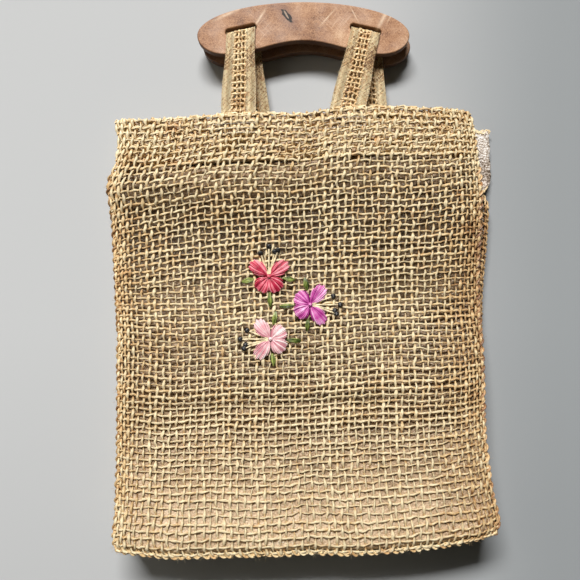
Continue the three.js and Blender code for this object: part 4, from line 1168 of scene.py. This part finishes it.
def scratched(tree, place, turn):
    """Many fine scratches in one direction, from 0 to 1."""
    spun = add_node(tree, "ShaderNodeVectorRotate", {"Vector": place, "Angle": math.radians(turn)},
                    rotation_type="Z_AXIS")
    drawn = add_node(tree, "ShaderNodeMapping", {"Vector": spun.outputs[0], "Scale": (45, 900, 1)}).outputs[0]
    noise_node = add_node(tree, "ShaderNodeTexNoise", {"Vector": drawn, "Scale": 1.0, "Detail": 1.0})
    line = add_node(tree, "ShaderNodeMapRange", {0: noise_node.outputs[0], 1: 0.53, 2: 0.76, 3: 0.0, 4: 1.0})
    worn = add_node(tree, "ShaderNodeMapRange", {0: object_noise(tree, 35, 2), 1: 0.45, 2: 0.65, 3: 0.0, 4: 0.75})
    return maths(tree, "MULTIPLY", line.outputs[0], worn.outputs[0])


def wood_material(name, centre, marked, shade):
    material, tree, shader = blank_material(name, Roughness=0.5, Specular_IOR_Level=0.35)
    place = tree.nodes.new("ShaderNodeTexCoord").outputs["Object"]
    wide_grain = object_noise(tree, 30, 4, (0.4, 1.2, 1.0))
    fine_grain = object_noise(tree, 260, 3, (0.15, 1.6, 1.0))
    blotches = object_noise(tree, 45, 6)
    specks = object_noise(tree, 1100, 2)
    tone = maths(tree, "MULTIPLY_ADD", wide_grain, 0.3, -0.46)
    tone = maths(tree, "ADD", tone, maths(tree, "MULTIPLY", fine_grain, 0.25))
    tone = maths(tree, "ADD", tone, maths(tree, "MULTIPLY", blotches, 0.75))
    tone = maths(tree, "ADD", tone, maths(tree, "MULTIPLY", specks, 0.75))
    sideways = add_node(tree, "ShaderNodeSeparateXYZ", {0: place}).outputs[0]
    paler = add_node(tree, "ShaderNodeMapRange", {0: sideways, 1: -0.08, 2: 0.08, 3: -0.03, 4: 0.06})
    tone = maths(tree, "ADD", tone, paler.outputs[0])
    colour = ramp(tree, tone, [
        (0.34, (0.16, 0.07, 0.035)),
        (0.5, (0.34, 0.166, 0.083)),
        (0.68, (0.48, 0.26, 0.139)),
        (0.9, (0.68, 0.455, 0.29)),
    ])
    for turn in (-50, 42):
        share = maths(tree, "MULTIPLY", scratched(tree, place, turn), 0.5)
        colour = mix(tree, share, colour, (0.86, 0.64, 0.46))
    haze = add_node(tree, "ShaderNodeMapRange", {0: object_noise(tree, 70, 5), 1: 0.45, 2: 0.7, 3: 0.0, 4: 0.26})
    colour = mix(tree, haze.outputs[0], colour, (0.60, 0.43, 0.35))
    # Painted shade: the board's rounded edges, which do not face up, are darkened.
    facing_up = add_node(tree, "ShaderNodeSeparateXYZ",
                         {0: tree.nodes.new("ShaderNodeNewGeometry").outputs["Normal"]}).outputs[2]
    painted_rim_shade = add_node(tree, "ShaderNodeMapRange", {0: maths(tree, "ABSOLUTE", facing_up), 1: 0.3, 2: 0.95, 3: 1, 4: 0})
    colour = mix(tree, maths(tree, "MULTIPLY", painted_rim_shade.outputs[0], 0.8), colour, (0.085, 0.036, 0.019))
    if marked:
        for scratch in WOOD_SCRATCHES:
            share = maths(tree, "MULTIPLY", mark(tree, place, scratch, centre), object_noise(tree, 300, 3))
            colour = mix(tree, share, colour, (0.92, 0.72, 0.52))
        halo = dict(KNOT, long=KNOT["long"] * 2.0, wide=KNOT["wide"] * 2.6)
        colour = mix(tree, maths(tree, "MULTIPLY", mark(tree, place, halo, centre), 0.5), colour, (0.20, 0.12, 0.11))
        colour = mix(tree, mark(tree, place, KNOT, centre, True), colour, (0.008, 0.004, 0.003))
        colour = mix(tree, mark(tree, place, KNOT_CORE, centre, True), colour, (0.36, 0.26, 0.19))
    colour = mix(tree, shade, colour, (0.03, 0.012, 0.007))
    tree.links.new(colour, shader.inputs["Base Color"])
    bump = add_node(tree, "ShaderNodeBump", {"Height": fine_grain, "Strength": 0.25, "Distance": 0.0003})
    tree.links.new(bump.outputs[0], shader.inputs["Normal"])
    return material


for label, centre in HANDLE_PLACES.items():
    board = flat_curve([board_outline(16), slot_outline(-1, 8), slot_outline(1, 8)], HANDLE["thick"], HANDLE["round"])
    middle = to_row([centre["x"], centre["y"], centre["z"] + HANDLE["thick"] / 2])
    for vertex in board.vertices:
        vertex.co += Vector(middle)
    board.materials.append(wood_material(f"wood {label}", centre, label == "front", SHADE[label]))
    for face in board.polygons:
        face.use_smooth = abs(face.normal.z) < 0.999
    piece = bpy.data.objects.new(f"board_{label}", board)
    bpy.context.scene.collection.objects.link(piece)
    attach(piece, "root")
    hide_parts(f"handle_{label}")
    print(piece.name, "has", len(board.polygons), "faces")

# %% [markdown]
# Each strap is a woven tape: two dense herringbone bands with an open ladder between them. It comes out of
# the hem, goes over the handle's bar, through the slot and back under the bar into the hem. The path is worked
# out once from the hem, the bar and the slot, and the bands, stitches and rungs are laid on it.

# %% Straps
STRAP = {"thick": 2, "slot_width": 27.5, "hem_width": 33, "bend": 1.8, "sewn": 25, "slot_seat": 1, "bar_reach": 24}
STRAPS = [
    {"name": "front_left", "handle": "front", "side": -1, "hem_x": -49.4, "hem_turn": 2},
    {"name": "front_right", "handle": "front", "side": 1, "hem_x": 54.9, "hem_turn": -11},
    {"name": "back_left", "handle": "back", "side": -1, "hem_x": -34.1, "hem_turn": 4},
    {"name": "back_right", "handle": "back", "side": 1, "hem_x": 79.4, "hem_turn": -3},
]
BAND_SHARE = 0.29
STITCH_STEP = 0.8
RUNG_STEP = 5.3
# The straps are darker in a band on each leg, about 36 mm from the slot, where they pass the board's edge.
BOARD_EDGE_DARKENING = {"below": 36, "wide": 12, "tone": 0.6}


def strap_line(spec):
    """Middle line of a strap, with the direction across it and its width at each point."""
    board = HANDLE_PLACES[spec["handle"]]
    slot_x = board["x"] + spec["side"] * SLOT["out"]
    slot_y = board["y"] + SLOT["up"] - STRAP["slot_seat"]
    across_hem, _ = front_stations(np.array(spec["hem_x"]), np.array(150.0))
    hem_y = float(end(across_hem, f"{spec['handle']}_mouth"))
    half_thick = STRAP["thick"] / 2
    over = board["z"] + HANDLE["thick"] + GAP + half_thick
    under = board["z"] - GAP - half_thick

    def sewn_height(y, layer):
        if spec["handle"] == "front":
            face = float(front_height_at(spec["hem_x"], y))
            return face - HEM["thick"] - 2 * GAP - half_thick - layer * (STRAP["thick"] + GAP)
        return HEM["thick"] + GAP + half_thick + (1 - layer) * (STRAP["thick"] + GAP)

    def leg(layer, bar_height):
        bar_end = slot_y - STRAP["bar_reach"]
        points = [(hem_y - deep, sewn_height(hem_y - deep, layer)) for deep in (STRAP["sewn"], STRAP["sewn"] / 2, 0)]
        for k in range(1, 9):
            start = sewn_height(hem_y, layer)
            rise = float(smoothstep(k / 8, 0, 1))
            points.append((hem_y + (bar_end - hem_y) * k / 8, start + (bar_height - start) * rise))
        return points

    def bend(height, way):
        points = []
        for k in range(6):
            angle = math.pi * k / 10
            points.append((slot_y - STRAP["bend"] * (1 - math.sin(angle)),
                           height - way * STRAP["bend"] * (1 - math.cos(angle))))
        return points

    line = leg(0, over) + bend(over, 1) + bend(under, -1)[::-1] + leg(1, under)[::-1]
    made = []
    for y, z in line:
        share = min(max((y - hem_y) / (slot_y - hem_y), -1), 1)
        turn = spec["hem_turn"] + (-spec["side"] * SLOT["turn"] - spec["hem_turn"]) * float(smoothstep(share, 0.3, 1))
        wide = STRAP["hem_width"] + (STRAP["slot_width"] - STRAP["hem_width"]) * float(smoothstep(share, 0.2, 0.8))
        x = spec["hem_x"] + (slot_x - spec["hem_x"]) * share
        made.append((x, y, z, math.cos(math.radians(turn)), math.sin(math.radians(turn)), wide))
    return np.array(made)


def strap_surface(line):
    """A function that gives points on a strap's surface by its width share, its length and its lift."""
    centre, width = line[:, :3], line[:, 5]
    across = np.concatenate([line[:, 3:5], np.zeros((len(line), 1))], axis=1)
    forward = np.gradient(centre, axis=0)
    normal = np.cross(across, forward)
    normal = normal / np.linalg.norm(normal, axis=1, keepdims=True)
    travelled = np.concatenate([[0], np.cumsum(np.linalg.norm(np.diff(centre, axis=0), axis=1))])

    def at(share, travel, lift):
        point = np.array([np.interp(travel, travelled, centre[:, i]) for i in range(3)])
        sideways = np.array([np.interp(travel, travelled, across[:, i]) for i in range(3)])
        upward = np.array([np.interp(travel, travelled, normal[:, i]) for i in range(3)])
        return point + sideways * (share - 0.5) * np.interp(travel, travelled, width) + upward * lift

    return at, travelled[-1]


webbing = straw_material("webbing straw", STRAW_COLOURS, 0.44, 620, 2.3)
randomly = random.Random(21)
for spec in STRAPS:
    at, long = strap_surface(strap_line(spec))
    name = f"tape_{spec['name']}"
    bands = bpy.data.meshes.new(name)
    shell = bmesh.new()
    for low_share, high_share in ((0, BAND_SHARE), (1 - BAND_SHARE, 1)):
        rows = int(long / 2.5)
        upper = [[shell.verts.new(to_row(at(low_share + (high_share - low_share) * i / 3, long * j / (rows - 1), 0.3)))
                  for i in range(4)] for j in range(rows)]
        lower = [[shell.verts.new(to_row(at(low_share + (high_share - low_share) * i / 3, long * j / (rows - 1), -0.3)))
                  for i in range(4)] for j in range(rows)]
        for j in range(rows - 1):
            for i in range(3):
                shell.faces.new((upper[j][i], upper[j][i + 1], upper[j + 1][i + 1], upper[j + 1][i]))
                shell.faces.new((lower[j][i], lower[j + 1][i], lower[j + 1][i + 1], lower[j][i + 1]))
            shell.faces.new((upper[j][0], upper[j + 1][0], lower[j + 1][0], lower[j][0]))
            shell.faces.new((upper[j][3], lower[j][3], lower[j + 1][3], upper[j + 1][3]))
        for j in (0, rows - 1):
            for i in range(3):
                shell.faces.new((upper[j][i], lower[j][i], lower[j][i + 1], upper[j][i + 1]))
    bmesh.ops.recalc_face_normals(shell, faces=shell.faces)
    shell.to_mesh(bands)
    shell.free()
    bands.attributes.new("tone", "FLOAT", "POINT").data.foreach_set("value", [0.25] * len(bands.vertices))
    bands.materials.append(webbing)
    tape = bpy.data.objects.new(name, bands)
    bpy.context.scene.collection.objects.link(tape)
    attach(tape, "root")
    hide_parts(f"strap_{spec['name']}")

    paths = []
    for j in range(int(long / STITCH_STEP)):
        travel = STITCH_STEP * (j + 0.5)
        edge_darkening = BOARD_EDGE_DARKENING["tone"] * math.exp(-(((abs(travel - long / 2) - BOARD_EDGE_DARKENING["below"]) / BOARD_EDGE_DARKENING["wide"]) ** 2))
        for start, stop, crossing in ((0.0, 0.29, False), (0.71, 1.0, False), (0.29, 0.0, True), (1.0, 0.71, True)):
            if crossing and j % 2:
                continue
            for face in (0.6, -0.6):
                tone = 0.56 + 1.0 * (randomly.random() - 0.5) - edge_darkening
                slant = 6.5 + 3.5 * randomly.random()
                points = []
                for t in (0, 0.35, 0.7, 1):
                    lift = face * (0.85 + 0.12 * math.sin(math.pi * t) + 0.25 * (t - 0.5) * (-1) ** j)
                    points.append(at(start + (stop - start) * t, min(travel + slant * t, long), lift))
                paths.append({"points": points, "radius": 0.37, "tone": tone})
    for k, side_share in enumerate((0.31, 0.437, 0.563, 0.69)):
        points = []
        for j in range(int(long / 1.4)):
            travel = 1.4 * j
            sway = 2 * math.pi * travel / RUNG_STEP + 1.7 * k
            points.append(at(side_share + 0.016 * math.sin(sway), travel, 0.4 * math.cos(sway)))
        paths.append({"points": points, "radius": 1.15, "tone": 0.14})
    for j in range(int(long / RUNG_STEP)):
        travel = RUNG_STEP * (j + 0.5) + 1.2 * (randomly.random() - 0.5)
        bow = 2.2 * (randomly.random() - 0.4)
        points = [at(share, travel + bow * math.sin(math.pi * (share - 0.3) / 0.4), 0.45 * math.sin(25 * share + 2 * j))
                  for share in np.linspace(0.27, 0.73, 10)]
        paths.append({"points": points, "radius": 1.3 + 0.25 * randomly.random(),
                      "tone": 0.12 + 0.5 * (randomly.random() - 0.5)})
    stitches = threads(f"{name}_stitches", paths, webbing, 4)
    spec["tape"], spec["stitches"], spec["long"] = tape, stitches, long

# %% [markdown]
# The flowers are satin stitch: flat shiny strands laid side by side from the middle of each petal to its edge,
# so the light streaks along them. Each petal is a fan of strands over a low arch. Stamens are couched stalks
# that end in black knots, and the leaves are olive green.

# %% Flowers
PETALS = [
    {"turn": 53, "reach": 22, "wide": 13.8, "lobes": 0.9, "strands": 13},
    {"turn": -53, "reach": 22, "wide": 13.8, "lobes": 0.9, "strands": 13},
    {"turn": 144, "reach": 16.5, "wide": 17, "lobes": 0.5, "strands": 14},
    {"turn": -144, "reach": 16.5, "wide": 17, "lobes": 0.5, "strands": 14},
]
LEAVES = [
    {"turn": 101, "start": 13.5, "stop": 26.5, "wide": 5.2},
    {"turn": -97, "start": 13.5, "stop": 25, "wide": 4.6},
    {"turn": 183, "start": 15, "stop": 29, "wide": 4.2},
]
STAMENS = [
    {"turn": 20, "reach": 23.5},
    {"turn": 0, "reach": 28.5},
    {"turn": -13, "reach": 24},
    {"turn": -19, "reach": 26.5},
]
FLOWERS = [
    {"name": "coral", "x": -20, "y": 12.8, "facing": 90, "hand": 1,
     "dark": (0.26, 0.003, 0.022), "middle": (0.67, 0.034, 0.095), "light": (0.95, 0.36, 0.42)},
    {"name": "magenta", "x": 19, "y": -14, "facing": 0, "hand": 1,
     "dark": (0.27, 0.012, 0.17), "middle": (0.64, 0.09, 0.42), "light": (0.92, 0.52, 0.80)},
    {"name": "pink", "x": -18.3, "y": -46.3, "facing": 180, "hand": -1,
     "dark": (0.60, 0.20, 0.26), "middle": (0.88, 0.54, 0.57), "light": (0.99, 0.86, 0.86)},
]
OLIVE = {"dark": (0.02, 0.035, 0.006), "middle": (0.17, 0.225, 0.04), "light": (0.46, 0.52, 0.15)}
BLACK = {"dark": (0.002, 0.002, 0.003), "middle": (0.008, 0.008, 0.010), "light": (0.03, 0.03, 0.034)}


def raffia_material(name, spec):
    material, tree, shader = blank_material(name, Roughness=0.33, Specular_IOR_Level=0.6)
    # The streaks in the colour are partly strand colour and partly painted sheen along the strands.
    streaks = maths(tree, "MULTIPLY_ADD", fibre_lines(tree, 6, 0.010), 1.7, -0.85)
    tone = maths(tree, "ADD", attribute(tree, "tone"), streaks)
    colour = ramp(tree, tone, [(0.05, spec["dark"]), (0.5, spec["middle"]), (0.95, spec["light"])])
    tree.links.new(colour, shader.inputs["Base Color"])
    bump = add_node(tree, "ShaderNodeBump", {"Height": fibre_lines(tree, 8, 0.015), "Strength": 0.6, "Distance": 0.0004})
    tree.links.new(bump.outputs[0], shader.inputs["Normal"])
    return material


def on_front(spec, turn, reach, sideways, lift):
    """A point over the front's face, from a flower's centre."""
    angle = math.radians(spec["facing"] + spec["hand"] * turn)
    x = spec["x"] + reach * math.cos(angle) - sideways * spec["hand"] * math.sin(angle)
    y = spec["y"] + reach * math.sin(angle) + sideways * spec["hand"] * math.cos(angle)
    return (x, y, float(front_height_at(x, y)) + lift)


def petal_paths(spec, petal, dice):
    """A fan of strands that rounds off at its sides and is scalloped at its edge."""
    paths = []
    for k in range(petal["strands"]):
        share = 2 * (k + 0.5) / petal["strands"] - 1
        scallop = petal["lobes"] * math.cos(3 * math.pi * share)
        edge = petal["reach"] * (1 - 0.3 * share**4 - 0.1 * share**2) + scallop + 0.4 * (dice.random() - 0.5)
        points = []
        for t in np.linspace(0, 1, 8):
            reach = 1.2 + (edge - 1.2) * t
            sideways = share * petal["wide"] / 2 * math.sin(math.pi / 2 * t) ** 0.9
            lift = 0.4 + 1.7 * math.sin(math.pi * (0.1 + 0.88 * t)) ** 0.8 + 0.25 * math.cos(3 * math.pi * share)
            points.append(on_front(spec, petal["turn"], reach, sideways, lift))
        # Painted shade: strands between the lobes, which lie lower, are darker.
        tone = 0.26 + 0.8 * (dice.random() - 0.5) + 0.12 * math.cos(3 * math.pi * share)
        paths.append({"points": points, "radius": 0.8, "tone": tone, "tip_tone": tone + 0.42, "taper": 0.3})
    return paths


def knot_path(spec, turn, reach, wide, high):
    """A small knot: one strand wound round twice, on the face of the bag."""
    points = []
    for t in np.linspace(0, 1, 26):
        angle = 5.2 * math.pi * t
        out = wide * (1 - 0.75 * t**2)
        points.append(on_front(spec, turn, reach + out * math.cos(angle), out * math.sin(angle), 0.6 + high * t))
    return points


def leaf_paths(spec, leaf, dice):
    paths = []
    strands = 7
    for k in range(strands):
        share = 2 * (k + 0.5) / strands - 1
        points = []
        for t in np.linspace(0, 1, 6):
            reach = leaf["start"] + (leaf["stop"] - leaf["start"]) * (0.5 + (t - 0.5) * (1 - 0.25 * share**2))
            sideways = share * leaf["wide"] / 2 * math.sin(math.pi * (0.12 + 0.76 * t))
            sideways += 0.7 * (dice.random() - 0.5)
            points.append(on_front(spec, leaf["turn"], reach, sideways, 0.35 + 1.1 * math.sin(math.pi * t) ** 0.7))
        paths.append({"points": points, "radius": 0.6, "tone": 0.42 + 0.9 * (dice.random() - 0.5), "taper": 0.4})
    return paths


olive = raffia_material("olive raffia", OLIVE)
black = raffia_material("black raffia", BLACK)
stalk_material = straw_material("stalk straw", STRAW_COLOURS, 0.4)
dice = random.Random(5)
for spec in FLOWERS:
    raffia = raffia_material(f"{spec['name']} raffia", spec)
    paths = [path for petal in PETALS for path in petal_paths(spec, petal, dice)]
    paths.append({"points": knot_path(spec, 0, 0, 1.5, 3.0), "radius": 0.9, "tone": 0.35, "tip_tone": 0.75})
    petals = threads(f"petals_{spec['name']}", paths, raffia, 6)
    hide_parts(f"flower_{spec['name']}")
    leaf_strands = [path for leaf in LEAVES for path in leaf_paths(spec, leaf, dice)]
    threads(f"leaves_{spec['name']}", leaf_strands, olive, 5)
    stalks, knots = [], []
    for stamen in STAMENS:
        for sideways in (-0.35, 0.35):
            points = []
            for t in np.linspace(0, 1, 9):
                weave = sideways * math.cos(5 * math.pi * t)
                lift = 1.7 - 0.5 * t + 0.2 * math.sin(5 * math.pi * t)
                points.append(on_front(spec, stamen["turn"], 2.4 + (stamen["reach"] - 2.4) * t, weave, lift))
            stalks.append({"points": points, "radius": 0.72, "tone": 0.75})
        wound = knot_path(spec, stamen["turn"], stamen["reach"], 1.75, 1.9)
        knots.append({"points": wound, "radius": 1.05, "tone": 0.3, "tip_tone": 0.7})
    threads(f"stalks_{spec['name']}", stalks, stalk_material, 5)
    threads(f"knots_{spec['name']}", knots, black, 6)

# %% [markdown]
# A thick twisted pair of yarns runs along the seams of the front, down the left side, across the base and up
# the right side. It is overcast with loops, which stand out as small scallops along the base. Straw always
# frays, so short fine fibres stand out along the edges and here and there on the face.

# %% Seam yarns, loops and loose fibres
SEAM = {"radius": 1.15, "twist": 10, "loop_step": 7.6, "fibres": 330, "face_fibres": 420}


def seam_frame(until=0.885):
    """Points along the front's seam, with the outward direction and the length travelled."""
    across, along, way, out = gusset_stations(2.5)
    keep = along <= until
    across, along, out = across[keep], along[keep], out[keep]
    x, y = plan_point("front", across, along)
    z = face_height(across, along, x, y)
    points = np.stack([x, y, z], axis=-1)
    travelled = np.concatenate([[0], np.cumsum(np.linalg.norm(np.diff(points, axis=0), axis=-1))])
    return points, np.concatenate([out, np.zeros((len(out), 1))], axis=-1), travelled


seam_points, seam_out, seam_travel = seam_frame()


def at_seam(travel, outward, upward):
    point = np.array([np.interp(travel, seam_travel, seam_points[:, i]) for i in range(3)])
    direction = np.array([np.interp(travel, seam_travel, seam_out[:, i]) for i in range(3)])
    return point + direction * outward + np.array([0, 0, upward])


seam_paths = []
for strand in range(2):
    points = []
    for travel in np.arange(0, seam_travel[-1], 2.2):
        angle = 2 * math.pi * travel / SEAM["twist"] + strand * math.pi
        points.append(at_seam(travel, -0.9 + 0.75 * math.cos(angle), -1.5 + 0.75 * math.sin(angle)))
    seam_paths.append({"points": points, "radius": SEAM["radius"], "tone": 0.5 + 0.1 * strand})
travel = 2.0
while travel < seam_travel[-1] - 8:
    tone = 0.5 + 0.5 * (dice.random() - 0.5)
    long_loop = SEAM["loop_step"] * (0.85 + 0.5 * dice.random())
    bulge = 0.6 + 0.8 * dice.random()
    points = []
    for t in np.linspace(0, 1, 7):
        outward = -4.0 + (4.0 + bulge) * math.sin(math.pi * min(t * 0.75, 1))
        upward = 0.5 * math.sin(math.pi * t) - 3.4 * t**2
        points.append(at_seam(travel + long_loop * t, outward, upward))
    seam_paths.append({"points": points, "radius": 1.0 + 0.35 * dice.random(), "tone": tone})
    travel += SEAM["loop_step"] * (0.7 + 0.6 * dice.random())
loose_top = gusset_wall(np.linspace(0.45, 0.98, 14), STRAW / 2)[:, -1]
turning = gusset_wall(np.linspace(0.5, 0.97, 6), STRAW / 2)[:, -20:-13]
LOOSE_STRANDS = (
    [{"edge": loose_top, "spread": (2.6, 5.0, 1.6), "thick": 0.5, "tone": 0.62}] * 28
    + [{"edge": row, "spread": (2.6, 2.0, 1.2), "thick": 0.5, "tone": 0.6} for row in turning] * 4
)
for k, strand in enumerate(LOOSE_STRANDS):
    first = int((len(strand["edge"]) - 3) * dice.random())
    points = []
    for place in strand["edge"][first:first + 4 + k % 3]:
        jump = np.array([dice.random() - 0.65, dice.random() - 0.7, 0.6 + 0.8 * dice.random()])
        points.append(place + jump * strand["spread"])
    seam_paths.append({
        "points": points,
        "radius": strand["thick"] + 0.4 * dice.random(),
        "tone": strand["tone"] + 0.5 * dice.random(),
    })
seam = threads("seam_yarns", seam_paths, straw, 5)


def fibre(start, direction, long, curl, radius=0.11):
    """A fine fibre that leaves a point and curls."""
    heading = math.atan2(direction[1], direction[0])
    points = [np.array(start, dtype=float)]
    for k in range(5):
        heading += curl / 5
        step = np.array([math.cos(heading), math.sin(heading), direction[2]]) * long / 5
        points.append(points[-1] + step)
    return {"points": points, "radius": radius, "tone": 0.75, "taper": 0.3}


fibres = []
for _ in range(SEAM["fibres"]):
    travel = dice.random() * seam_travel[-1]
    start = at_seam(travel, -1.5 * dice.random(), -2.5 * dice.random())
    outward = at_seam(travel, 1, 0) - at_seam(travel, 0, 0)
    direction = (outward[0] + 1.2 * (dice.random() - 0.5), outward[1] + 1.2 * (dice.random() - 0.5), 0.2)
    fibres.append(fibre(start, direction, 1.5 + 4 * dice.random() ** 2, 3 * (dice.random() - 0.5)))
for _ in range(SEAM["face_fibres"]):
    across, along = dice.random(), 0.02 + 0.97 * dice.random()
    x, y = plan_point("front", np.array(across), np.array(along))
    z = float(face_height(np.array(across), np.array(along), x, y))
    turn = 2 * math.pi * dice.random()
    start = (float(x), float(y), z - 0.4)
    fibres.append(fibre(start, (math.cos(turn), math.sin(turn), 0.3 * dice.random()), 2 + 4 * dice.random(),
                        4 * (dice.random() - 0.5)))
for spec in STRAPS:
    at, long = strap_surface(strap_line(spec))
    for _ in range(46):
        share = dice.choice((0.0, 1.0))
        start = at(share, long * dice.random(), 0)
        sideways = at(1, long / 2, 0) - at(0, long / 2, 0)
        outward = sideways / np.linalg.norm(sideways) * (1 if share else -1)
        direction = (outward[0], outward[1] + 1.4 * (dice.random() - 0.5), 0.25 * (dice.random() - 0.3))
        fibres.append(fibre(start, direction, 1.2 + 3 * dice.random() ** 2, 3 * (dice.random() - 0.5)))
fibre_piece = threads("loose_fibres", fibres, straw, 3)

# %% [markdown]
# The front straps are sewn down through the hem with a clear thread, whose rows of stitches glint on the face.

# %% Machine stitches on the hem
clear, clear_tree, clear_shader = blank_material("clear thread", Roughness=0.25)
shine = mix(clear_tree, object_noise(clear_tree, 900, 2), (0.62, 0.58, 0.52), (0.86, 0.84, 0.80))
clear_tree.links.new(shine, clear_shader.inputs["Base Color"])
stitches = []
for spec in STRAPS[:2]:
    middle, reach = spec["hem_x"] - 3, 20
    for row in (9.5, 14, 18.5):
        for k in range(13):
            start = middle - reach + 2 * reach * k / 13
            points = []
            for t in (0, 0.33, 0.66, 1):
                x = start + 2.4 * t
                y = float(end(front_stations(np.array(x), np.array(150.0))[0], "front_mouth")) - row
                points.append((x, y, float(front_height_at(x, y)) + 0.45 * math.sin(math.pi * t)))
            stitches.append({"points": points, "radius": 0.2, "tone": 0.5})
stitch_piece = threads("hem_stitches", stitches, clear, 4)

# %% [markdown]
# The flat size of each cloth, the size it was cut to, is worked out from its grid.

flat_size(film_points)
flat_size(back_points)
flat_size(inner)
flat_size(facing_points)
for spec in STRAPS:
    long = spec["long"] * MM
